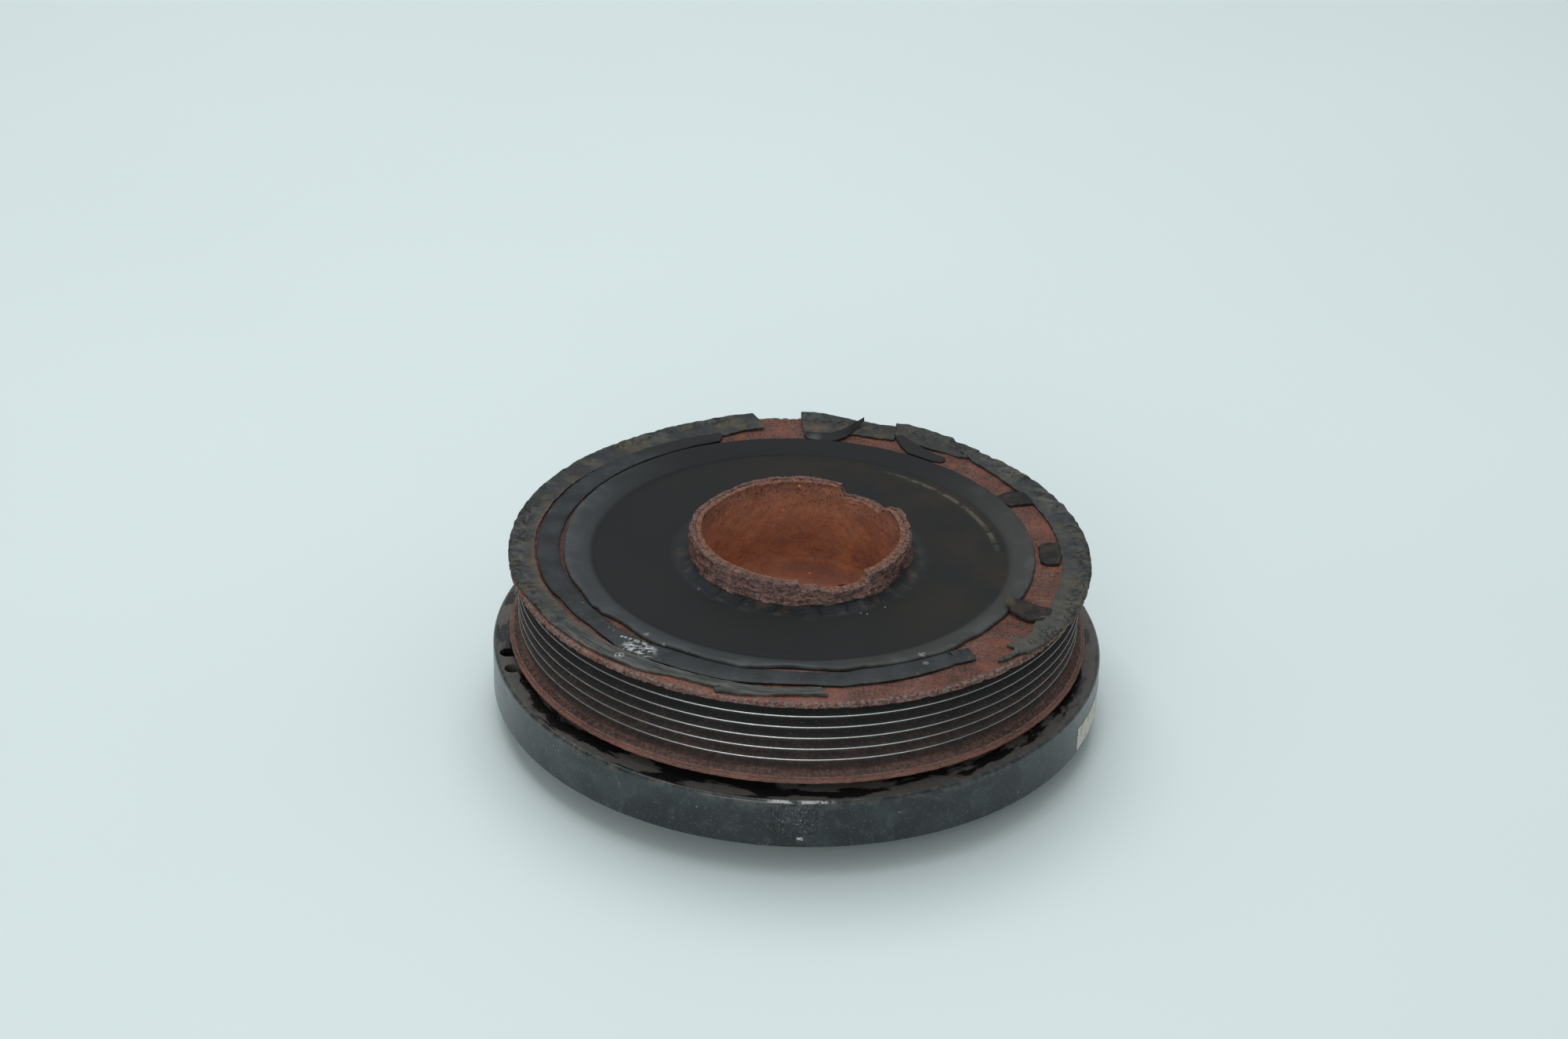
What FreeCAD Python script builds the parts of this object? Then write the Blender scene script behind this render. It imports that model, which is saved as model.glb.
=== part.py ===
"""Used crankshaft pulley with a rubber coupling in front and a damper ring behind.

Everything turns about Z. The rear boss of the hub stands on z = 0 and the belt side faces +Z.
Azimuths are in degrees from +X, anticlockwise seen from the front.
Lengths are millimetres and live in the sheet, so each piece follows the sizes it seats on.
"""
import FreeCAD, Part
import math
import os
import re
import Sketcher

SIZES = {
    # belt track
    "rib_pitch": (3.56, "distance between the belt's ribs"),
    "groove_count": (6, "grooves in the belt track"),
    "groove_depth": (2.9, "crest to groove root"),
    "flank_angle": (20, "half angle of a groove, degrees"),
    "crest_land": (0.5, "flat on top of a crest"),
    "root_round": (0.35, "radius at a groove's root"),
    "crest_r": (84.0, "radius over the crests"),
    "flange_r": (86.8, "radius over the two flanges"),
    "first_groove": (4.1, "front face to the middle of the first groove"),
    "rear_rim": (0.7, "straight rim of the rear flange"),
    # heights, one above the other
    "ring_lift": (7.6, "damper ring above the hub's rear face"),
    "ring_width": (15.4, "width of the damper ring"),
    "pulley_gap": (2.7, "damper ring to the pulley's rear flange"),
    "rim_width": (26.3, "width of the belt pulley"),
    "collar_rise": (7.6, "collar above the pulley's front face"),
    # damper ring
    "ring_r": (91.7, "outer radius of the damper ring"),
    "ring_bore_r": (60.0, "bore of the damper ring"),
    "ring_front_round": (1.2, "rounded front edge"),
    "ring_rear_round": (0.8, "rounded rear edge"),
    "balance_hole_r": (2.4, "radius of a balance hole"),
    "balance_circle_r": (87.8, "circle of the balance holes"),
    "balance_depth": (6.0, "depth of a balance hole"),
    "balance_angle": (191.5, "azimuth of the first balance hole"),
    "balance_step": (6.0, "azimuth between the balance holes"),
    # hub
    "crank_bore_r": (13.0, "centring bore in the cup's floor"),
    "socket_r": (27.0, "rear socket that takes the crankshaft's end"),
    "boss_r": (34.0, "rear boss"),
    "tube_r": (31.3, "outside of the hub's tube"),
    "tube_wall": (1.7, "wall of the hub's tube"),
    "tube_short": (0.8, "tube ends below the collar's rim"),
    "cup_floor": (30.0, "height of the cup's floor"),
    "floor_wall": (8.0, "thickness of the cup's floor"),
    "hub_web": (8.0, "thickness of the hub's web"),
    "web_inset": (2.4, "web behind the damper ring's rear face"),
    "hub_rim_wall": (4.0, "rim that carries the damper rubber"),
    "damper_wall": (4.0, "thickness of the damper rubber"),
    "damper_inset": (0.5, "rubber short of the ring's faces"),
    "bolt_hole_r": (4.25, "radius of a bolt hole"),
    "bolt_count": (4, "bolt holes in the cup's floor"),
    # bearing of the belt pulley
    "carrier_gap": (1.3, "damper ring to the carrier disc"),
    "carrier_wall": (2.0, "thickness of the carrier disc and its collar"),
    "carrier_collar": (11.7, "height of the carrier's collar"),
    "carrier_bend": (1.5, "inside radius of the carrier's bend"),
    "washer_wall": (1.2, "thickness of the thrust washer"),
    "washer_r": (80.0, "radius of the thrust washer and the disc"),
    "step_room": (0.6, "room round the washer in the pulley"),
    "rim_bore_r": (75.0, "bore of the belt pulley"),
    "bush_wall": (2.0, "thickness of the bearing bush"),
    "sleeve_wall": (2.0, "thickness of the bearing sleeve"),
    "sleeve_room": (1.0, "bearing to the pulley's web"),
    "web_wall": (8.0, "thickness of the pulley's front web"),
    "web_bore_r": (69.0, "inner edge of the pulley's web"),
    # drive ring
    "drive_sink": (2.5, "drive ring behind the pulley's front face"),
    "drive_wall": (2.5, "thickness of the drive ring's disc"),
    "collar_wall": (1.7, "wall of the drive ring's collar"),
    "collar_bend": (2.5, "bend at the foot of the collar"),
    "drive_r": (62.0, "outside of the drive ring"),
    "drive_bend": (3.5, "bend at the drive ring's edge"),
    "drive_drop": (7.5, "height of the drive ring's edge"),
    # rubber on the front
    "disc_skin": (1.3, "rubber over the drive ring"),
    "web_skin": (1.2, "rubber over the pulley's web"),
    "flash_rise": (1.0, "rubber round the collar above the pulley's face"),
    "flash_r": (38.0, "foot of the rubber round the collar"),
    "dish_r": (61.0, "inner edge of the dished lip"),
    "lip_r": (71.0, "outer edge of the dished lip"),
    "rubber_sag": (1.0, "hollow at the rear of the coupling rubber"),
    "strip_in_r": (71.5, "inner edge of the middle strip"),
    "strip_out_r": (78.3, "outer edge of the middle strip"),
    "film_in_r": (79.0, "inner edge of the outer film"),
    "film_out_r": (86.9, "outer edge of the outer film"),
    "flap_lift": (1.0, "outer edge of a flap above the web"),
    "tear_unit": (1.0, "unit of the distances along the torn and broken edges"),
}

# Places worked out from the sizes above.
LEVELS = {
    "ring_front": "ring_lift + ring_width",
    "rim_rear": "ring_front + pulley_gap",
    "rim_front": "rim_rear + rim_width",
    "collar_top": "rim_front + collar_rise",
    "tube_top": "collar_top - tube_short",
    "web_rear": "ring_lift + web_inset",
    "web_front": "web_rear + hub_web",
    "bolt_circle_r": "(crank_bore_r + socket_r) / 2",
    "hub_rim_r": "ring_bore_r - damper_wall",
    "cup_r": "tube_r - tube_wall",
    "disc_rear": "ring_front + carrier_gap",
    "disc_front": "disc_rear + carrier_wall",
    "washer_front": "disc_front + washer_wall",
    "bush_r": "rim_bore_r - bush_wall",
    "rim_web_rear": "rim_front - web_wall",
    "drive_front": "rim_front - drive_sink",
    "drive_rear": "drive_front - drive_wall",
    "collar_r": "tube_r + collar_wall",
    "skin_front": "rim_front + web_skin",
    "disc_face": "drive_front + disc_skin",
    "groove_half": "(rib_pitch - crest_land) / 2",
}

AXIS = ("0", "0")
FULL_TURN = 360
EDGE_STEP = 5

doc = FreeCAD.newDocument("CrankshaftPulley")
sheet = doc.addObject("Spreadsheet::Sheet", "Sizes")
for row, (name, (size, note)) in enumerate(SIZES.items(), start=1):
    sheet.set(f"A{row}", name)
    sheet.set(f"B{row}", str(size))
    sheet.set(f"C{row}", note)
    sheet.setAlias(f"B{row}", name)
doc.recompute()


def formula(text):
    """Expression for the document, from the names of sizes and levels."""
    def spell(found):
        name = found.group()
        if name in LEVELS:
            return f"({formula(LEVELS[name])})"
        if name == "flank_angle":
            return "Sizes.flank_angle * 1 deg"
        return f"Sizes.{name}" if name in SIZES else name
    return re.sub(r"[a-z_]+", spell, text)


def amount(text):
    """Present value of an expression."""
    found = sheet.evalExpression(formula(text))
    return float(getattr(found, "Value", found))


def polar(radius, azimuth, centre=None):
    """Corner of an outline in the XY plane; with a centre, an arc runs on to the next corner."""
    spot = (f"({radius}) * cos({azimuth} deg)", f"({radius}) * sin({azimuth} deg)")
    return spot + (centre,) if centre else spot


def outline(sketch, corners):
    """Closed outline through corners (across, up), each bound to the sheet.

    A third entry is the centre of an arc, shorter than half a turn, to the next corner.
    """
    count = len(corners)
    first = sketch.GeometryCount
    spots = [FreeCAD.Vector(amount(corner[0]), amount(corner[1])) for corner in corners]
    heads = []
    tails = []
    for number, corner in enumerate(corners):
        start = spots[number]
        end = spots[(number + 1) % count]
        if len(corner) == 2:
            sketch.addGeometry(Part.LineSegment(start, end))
            heads.append(1)
            tails.append(2)
            continue
        centre = FreeCAD.Vector(amount(corner[2][0]), amount(corner[2][1]))
        arm = start - centre
        reach = end - centre
        anticlockwise = arm.cross(reach).z > 0
        turns = [math.atan2(arm.y, arm.x), math.atan2(reach.y, reach.x)]
        if not anticlockwise:
            turns.reverse()
        circle = Part.Circle(centre, FreeCAD.Vector(0, 0, 1), arm.Length)
        sketch.addGeometry(Part.ArcOfCircle(circle, turns[0], turns[1]))
        heads.append(1 if anticlockwise else 2)
        tails.append(2 if anticlockwise else 1)
    for number in range(count):
        follower = (number + 1) % count
        sketch.addConstraint(Sketcher.Constraint(
            "Coincident", first + number, tails[number], first + follower, heads[follower]))
    for number, corner in enumerate(corners):
        before = corners[number - 1]
        across, up = True, True
        if len(before) == 3:
            from_centre = spots[number] - FreeCAD.Vector(amount(before[2][0]), amount(before[2][1]))
            across = abs(from_centre.y) > abs(from_centre.x)
            up = not across
        if across:
            hold(sketch, "DistanceX", first + number, heads[number], corner[0])
        if up:
            hold(sketch, "DistanceY", first + number, heads[number], corner[1])
        if len(corner) == 3 and corner[2] == AXIS:
            sketch.addConstraint(Sketcher.Constraint("Coincident", first + number, 3, -1, 1))
        elif len(corner) == 3:
            hold(sketch, "DistanceX", first + number, 3, corner[2][0])
            hold(sketch, "DistanceY", first + number, 3, corner[2][1])


def hold(sketch, kind, line, point, text):
    """One coordinate of a point, bound to the sheet."""
    number = sketch.addConstraint(Sketcher.Constraint(kind, -1, 1, line, point, amount(text)))
    sketch.setExpression(f"Constraints[{number}]", formula(text))


def new_body(name):
    body = doc.addObject("PartDesign::Body", name)
    body.Label = name
    return body


def new_sketch(body, name, plane, corners, height=None):
    """Sketch on one of the body's own planes, at a height above it, with one outline."""
    sketch = body.newObject("Sketcher::SketchObject", name)
    support = [part for part in body.Origin.OriginFeatures if part.Role == plane][0]
    sketch.AttachmentSupport = [(support, "")]
    sketch.MapMode = "FlatFace"
    if height:
        sketch.setExpression("AttachmentOffset.Base.z", formula(height))
    outline(sketch, corners)
    return sketch


def turned(name, corners, angle=FULL_TURN, azimuth=0):
    """Body turned about Z, from an azimuth on, from a profile of (radius, height) corners."""
    body = new_body(name)
    sketch = new_sketch(body, name + "_profile", "XZ_Plane", corners)
    sketch.AttachmentOffset = FreeCAD.Placement(
        FreeCAD.Vector(), FreeCAD.Rotation(FreeCAD.Vector(0, 1, 0), azimuth))
    turning = body.newObject("PartDesign::Revolution", name + "_turned")
    turning.Profile = sketch
    turning.ReferenceAxis = (sketch, ["V_Axis"])
    turning.Angle = angle
    return body


def grooved(body, name, corners):
    """Groove turned into a body from a profile of (radius, height) corners."""
    groove = body.newObject("PartDesign::Groove", name)
    groove.Profile = new_sketch(body, name + "_profile", "XZ_Plane", corners)
    groove.ReferenceAxis = (groove.Profile[0], ["V_Axis"])
    groove.Angle = FULL_TURN
    return groove


def ring_edges(shape, places):
    """Names of the circular edges at the given (radius, height) places."""
    names = []
    for number, edge in enumerate(shape.Edges, start=1):
        curve = edge.Curve
        if not isinstance(curve, Part.Circle):
            continue
        for radius, height in places:
            if abs(curve.Radius - amount(radius)) + abs(curve.Center.z - amount(height)) < 0.001:
                names.append(f"Edge{number}")
    return names


def dressed(body, kind, name, places, size):
    """Fillet or chamfer on a body's circular edges."""
    doc.recompute()
    base = body.Tip
    feature = body.newObject(f"PartDesign::{kind}", name)
    feature.Base = (base, ring_edges(base.Shape, places))
    feature.setExpression("Radius" if kind == "Fillet" else "Size", formula(size))
    return feature


# Hub and damper


def make_hub():
    body = turned("hub", [
        ("socket_r", "0"),
        ("boss_r", "0"),
        ("boss_r", "web_rear"),
        ("hub_rim_r - hub_rim_wall", "web_rear"),
        ("hub_rim_r - hub_rim_wall", "ring_lift"),
        ("hub_rim_r", "ring_lift"),
        ("hub_rim_r", "ring_front"),
        ("hub_rim_r - hub_rim_wall", "ring_front"),
        ("hub_rim_r - hub_rim_wall", "web_front"),
        ("tube_r", "web_front"),
        ("tube_r", "tube_top"),
        ("cup_r", "tube_top"),
        ("cup_r", "cup_floor"),
        ("crank_bore_r", "cup_floor"),
        ("crank_bore_r", "cup_floor - floor_wall"),
        ("socket_r", "cup_floor - floor_wall"),
    ])
    inner = "hub_rim_r - hub_rim_wall"
    dressed(body, "Fillet", "hub_web_roots", [
        ("boss_r", "web_rear"), (inner, "web_rear"), (inner, "web_front"), ("tube_r", "web_front"),
    ], "hub_web / 4")
    dressed(body, "Fillet", "cup_root", [("cup_r", "cup_floor")], "tube_wall")
    dressed(body, "Chamfer", "hub_edges", [
        ("socket_r", "0"), ("boss_r", "0"), ("hub_rim_r", "ring_lift"), ("hub_rim_r", "ring_front"),
    ], "hub_rim_wall / 6")
    doc.recompute()
    quarter = "bolt_circle_r * cos(45 deg)"
    drill = body.newObject("PartDesign::Pocket", "bolt_hole")
    hole = body.newObject("Sketcher::SketchObject", "bolt_hole_circle")
    floor = [part for part in body.Origin.OriginFeatures if part.Role == "XY_Plane"][0]
    hole.AttachmentSupport = [(floor, "")]
    hole.MapMode = "FlatFace"
    hole.setExpression("AttachmentOffset.Base.z", formula("cup_floor"))
    round_hole(hole, quarter, quarter, "bolt_hole_r")
    drill.Profile = hole
    drill.setExpression("Length", formula("floor_wall"))
    pattern = body.newObject("PartDesign::PolarPattern", "bolt_holes")
    pattern.Originals = [drill]
    pattern.Axis = (hole, ["N_Axis"])
    pattern.Angle = FULL_TURN
    pattern.setExpression("Occurrences", "Sizes.bolt_count")
    body.Tip = pattern
    break_rim(body, "tube", "tube_r", "tube_top")
    return body


def round_hole(sketch, across, up, radius):
    """Circle of an expression's radius at a bound place."""
    place = FreeCAD.Vector(amount(across), amount(up))
    circle = Part.Circle(place, FreeCAD.Vector(0, 0, 1), amount(radius))
    line = sketch.addGeometry(circle)
    number = sketch.addConstraint(Sketcher.Constraint("Radius", line, amount(radius)))
    sketch.setExpression(f"Constraints[{number}]", formula(radius))
    hold(sketch, "DistanceX", line, 3, across)
    hold(sketch, "DistanceY", line, 3, up)


# The broken stretches of the rim: azimuth and how far the break lies below the collar's top.
REAR_BREAK = [
    (68.5, -1), (67.5, 1.2), (66.2, 3.4), (63, 4.0), (58, 3.4), (51, 3.3), (44, 3.5), (38, 4.1),
    (35.6, 3.6), (36.2, 2.4), (32, 1.2), (28, 0.2), (27, -1),
]
FRONT_BREAK = [
    (-90.6, -1), (-89.6, 2.0), (-84, 2.3), (-80, 2.1), (-75, 3.2), (-69, 3.7), (-62, 4.0), (-57, 3.8),
    (-53.4, 3.2), (-52.2, 0.5), (-51.6, -1),
]


def break_rim(body, name, wall_r, top):
    """Both broken stretches, cut through one side of a tube whose rim is at top."""
    for side, points in (("rear", REAR_BREAK), ("front", FRONT_BREAK)):
        middle = (points[0][0] + points[-1][0]) / 2
        corners = [
            (f"({wall_r}) * sin({azimuth - middle} deg)", f"({top}) - {drop} * tear_unit")
            for azimuth, drop in points
        ]
        cut = body.newObject("PartDesign::Pocket", f"{name}_break_{side}")
        sketch = new_sketch(body, f"{name}_break_{side}_line", "XZ_Plane", corners)
        sketch.AttachmentOffset = FreeCAD.Placement(
            FreeCAD.Vector(), FreeCAD.Rotation(FreeCAD.Vector(0, 1, 0), middle + 90))
        cut.Profile = sketch
        cut.Type = "ThroughAll"
        cut.Reversed = True


def make_damper():
    low = "ring_lift + damper_inset"
    high = "ring_front - damper_inset"
    turned("damper_rubber", [
        ("hub_rim_r", low),
        ("ring_bore_r", low),
        ("ring_bore_r", high),
        ("hub_rim_r", high),
    ])
    ring = turned("inertia_ring", [
        ("ring_bore_r", "ring_lift"),
        ("ring_r", "ring_lift"),
        ("ring_r", "ring_front"),
        ("ring_bore_r", "ring_front"),
    ])
    dressed(ring, "Fillet", "ring_front_edge", [("ring_r", "ring_front")], "ring_front_round")
    dressed(ring, "Fillet", "ring_rear_edge", [("ring_r", "ring_lift")], "ring_rear_round")
    dressed(ring, "Chamfer", "ring_bore_edges", [
        ("ring_bore_r", "ring_front"), ("ring_bore_r", "ring_lift"),
    ], "damper_inset")
    doc.recompute()
    drill = ring.newObject("PartDesign::Pocket", "balance_hole")
    sketch = ring.newObject("Sketcher::SketchObject", "balance_hole_circle")
    front = [part for part in ring.Origin.OriginFeatures if part.Role == "XY_Plane"][0]
    sketch.AttachmentSupport = [(front, "")]
    sketch.MapMode = "FlatFace"
    sketch.setExpression("AttachmentOffset.Base.z", formula("ring_front"))
    turn = "balance_angle * 1 deg"
    round_hole(sketch, f"balance_circle_r * cos({turn})", f"balance_circle_r * sin({turn})",
               "balance_hole_r")
    drill.Profile = sketch
    drill.setExpression("Length", formula("balance_depth"))
    pattern = ring.newObject("PartDesign::PolarPattern", "balance_holes")
    pattern.Originals = [drill]
    pattern.Axis = (sketch, ["N_Axis"])
    pattern.Mode = "Spacing"
    pattern.setExpression("Offset", formula("balance_step"))
    pattern.Occurrences = 2
    ring.Tip = pattern


# Bearing of the belt pulley


def make_bearing():
    collar_r = "tube_r + carrier_wall"
    bend = ("tube_r + carrier_wall + carrier_bend", "disc_front + carrier_bend")
    turned("carrier_disc", [
        ("tube_r", "disc_front + carrier_bend", bend),
        ("tube_r + carrier_wall + carrier_bend", "disc_rear"),
        ("washer_r", "disc_rear"),
        ("washer_r", "disc_front"),
        ("tube_r + carrier_wall + carrier_bend", "disc_front", bend),
        (collar_r, "disc_front + carrier_bend"),
        (collar_r, "disc_rear + carrier_collar"),
        ("tube_r", "disc_rear + carrier_collar"),
    ])
    sleeve = turned("bearing_sleeve", [
        ("bush_r - sleeve_wall", "disc_front"),
        ("bush_r", "disc_front"),
        ("bush_r", "rim_web_rear - sleeve_room"),
        ("bush_r - sleeve_wall", "rim_web_rear - sleeve_room"),
    ])
    dressed(sleeve, "Chamfer", "sleeve_edges", [
        ("bush_r", "rim_web_rear - sleeve_room"), ("bush_r - sleeve_wall", "rim_web_rear - sleeve_room"),
    ], "sleeve_wall / 5")
    turned("bearing_bush", [
        ("bush_r", "washer_front"),
        ("rim_bore_r", "washer_front"),
        ("rim_bore_r", "rim_web_rear - sleeve_room"),
        ("bush_r", "rim_web_rear - sleeve_room"),
    ])
    turned("thrust_washer", [
        ("bush_r", "disc_front"),
        ("washer_r", "disc_front"),
        ("washer_r", "washer_front"),
        ("bush_r", "washer_front"),
    ])


def make_pulley_rim():
    """Belt pulley: the flanks of the outer grooves run on into the flanges."""
    slope = "tan(flank_angle)"
    front_flank = "rim_front - first_groove + groove_half"
    rear_flank = "rim_front - first_groove - (groove_count - 1) * rib_pitch - groove_half"
    body = turned("pulley_rim", [
        ("rim_bore_r", "washer_front"),
        ("washer_r + step_room", "washer_front"),
        ("washer_r + step_room", "rim_rear"),
        ("flange_r", "rim_rear"),
        ("flange_r", "rim_rear + rear_rim"),
        ("crest_r", rear_flank),
        ("crest_r", front_flank),
        ("flange_r", f"{front_flank} + (flange_r - crest_r) * {slope}"),
        ("flange_r", "rim_front"),
        ("web_bore_r", "rim_front"),
        ("web_bore_r", "rim_web_rear"),
        ("rim_bore_r", "rim_web_rear"),
    ])
    dressed(body, "Chamfer", "rim_edges", [
        ("flange_r", "rim_front"), ("flange_r", "rim_rear"),
    ], "rear_rim / 3")
    doc.recompute()
    middle = "rim_front - first_groove"
    root_r = "crest_r - groove_depth + root_round"
    tangent_r = f"{root_r} - root_round * sin(flank_angle)"
    tangent_half = f"(groove_half - (crest_r - ({tangent_r})) * {slope})"
    clear = "(flange_r - crest_r)"
    groove = grooved(body, "groove", [
        (f"crest_r + {clear} / 9", f"{middle} + groove_half + {clear} / 9 * {slope}"),
        (tangent_r, f"{middle} + {tangent_half}"),
        ("crest_r - groove_depth", f"{middle} + {tangent_half} / 2"),
        ("crest_r - groove_depth", f"{middle} - {tangent_half} / 2"),
        (tangent_r, f"{middle} - {tangent_half}"),
        (f"crest_r + {clear} / 9", f"{middle} - groove_half - {clear} / 9 * {slope}"),
    ])
    pattern = body.newObject("PartDesign::LinearPattern", "grooves")
    pattern.Originals = [groove]
    pattern.Direction = (groove.Profile[0], ["V_Axis"])
    pattern.Reversed = True
    pattern.Mode = "Spacing"
    pattern.setExpression("Offset", formula("rib_pitch"))
    pattern.setExpression("Occurrences", "Sizes.groove_count")
    body.Tip = pattern


# Drive ring and the rubber coupling


def make_drive_ring():
    """Drawn ring: collar on the hub's tube, flat disc, and an edge bent to the rear."""
    foot_round = "(collar_bend + collar_wall)"
    foot = (f"tube_r + {foot_round}", f"drive_rear + {foot_round}")
    neck = ("collar_r + collar_bend", "drive_front + collar_bend")
    shoulder = ("drive_r - drive_bend", "drive_front - drive_bend")
    body = turned("drive_ring", [
        ("tube_r", f"drive_rear + {foot_round}", foot),
        (f"tube_r + {foot_round}", "drive_rear"),
        ("drive_r - drive_bend", "drive_rear", shoulder),
        ("drive_r - drive_wall", "drive_front - drive_bend"),
        ("drive_r - drive_wall", "drive_front - drive_drop"),
        ("drive_r", "drive_front - drive_drop"),
        ("drive_r", "drive_front - drive_bend", shoulder),
        ("drive_r - drive_bend", "drive_front"),
        ("collar_r + collar_bend", "drive_front", neck),
        ("collar_r", "drive_front + collar_bend"),
        ("collar_r", "collar_top"),
        ("tube_r", "collar_top"),
    ])
    break_rim(body, "collar", "collar_r", "collar_top")


# The torn outer edge of the lip: azimuth and distance inside lip_r.
LIP_TEAR = [
    (0, 0.9), (30, 0.8), (52, 0.9), (90, 0.8), (108, 0.5), (125, 0.1), (165, 0.1), (180, 0.7), (195, 0.4),
    (206, 0.8), (213, 0.1), (217, 0.5), (220, 1.5), (224, 2.0), (227, 1.8), (232, 0.6), (235, 0.2),
    (238, 0.9), (242, 1.2), (249, 0.4), (254, 0.3), (257, -0.3), (260, 0.7), (264, 1.6), (270, 2.8),
    (273, 1.8), (277, 1.2), (280, 0.6), (286, 1.2), (290, 0.5), (295, 0.2), (306, 0.1), (311, 0.4),
    (314, 1.1), (318, 0.8), (323, 1.3), (331, 1.3), (345, 0.9),
]


def make_coupling_rubber():
    """Rubber between the drive ring and the pulley, with the skin and the lip over both."""
    neck = ("collar_r + collar_bend", "drive_front + collar_bend")
    shoulder = ("drive_r - drive_bend", "drive_front - drive_bend")
    flash_top = "rim_front + flash_rise"
    flash_round = ("flash_r", f"disc_face + ({flash_top} - disc_face) * 2")
    body = turned("decoupling_rubber", [
        ("collar_r", "drive_front + collar_bend", neck),
        ("collar_r + collar_bend", "drive_front"),
        ("drive_r - drive_bend", "drive_front", shoulder),
        ("drive_r", "drive_front - drive_bend"),
        ("drive_r", "rim_web_rear - rubber_sag"),
        ("web_bore_r", "rim_web_rear + rubber_sag"),
        ("web_bore_r", "rim_front"),
        ("lip_r", "rim_front"),
        ("lip_r", "skin_front"),
        ("web_bore_r", "skin_front"),
        ("dish_r", "disc_face"),
        ("flash_r", "disc_face"),
        ("(collar_r + flash_r) / 2", f"disc_face + ({flash_top} - disc_face) / 4"),
        ("collar_r", flash_top),
    ])
    tear = body.newObject("PartDesign::Pocket", "lip_tear")
    sketch = new_sketch(body, "lip_tear_line", "XY_Plane",
                        edge_line("lip_r", [(azimuth, -inside) for azimuth, inside in LIP_TEAR]),
                        "rim_front")
    round_hole(sketch, "0", "0", "lip_r + tear_unit")
    tear.Profile = sketch
    tear.Type = "ThroughAll"
    tear.Reversed = True


def make_skin(name, corners):
    """Scrap of the torn skin, flat on the pulley's web."""
    body = new_body(name)
    pad = body.newObject("PartDesign::Pad", name + "_sheet")
    pad.Profile = new_sketch(body, name + "_outline", "XY_Plane", corners, "rim_front")
    pad.setExpression("Length", formula("web_skin"))


def edge_line(radius, points):
    """Corners along a torn edge: azimuth and distance outside a named radius.

    Long stretches get corners in between, so that they stay round.
    """
    corners = []
    for (azimuth, outside), (onward, farther) in zip(points, points[1:]):
        steps = math.ceil(abs(onward - azimuth) / EDGE_STEP)
        for step in range(steps):
            share = step / steps
            corners.append(polar(f"{radius} + {outside + (farther - outside) * share:.2f} * tear_unit",
                                 round(azimuth + (onward - azimuth) * share, 2)))
    azimuth, outside = points[-1]
    return corners + [polar(f"{radius} + {outside} * tear_unit", azimuth)]


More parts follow.
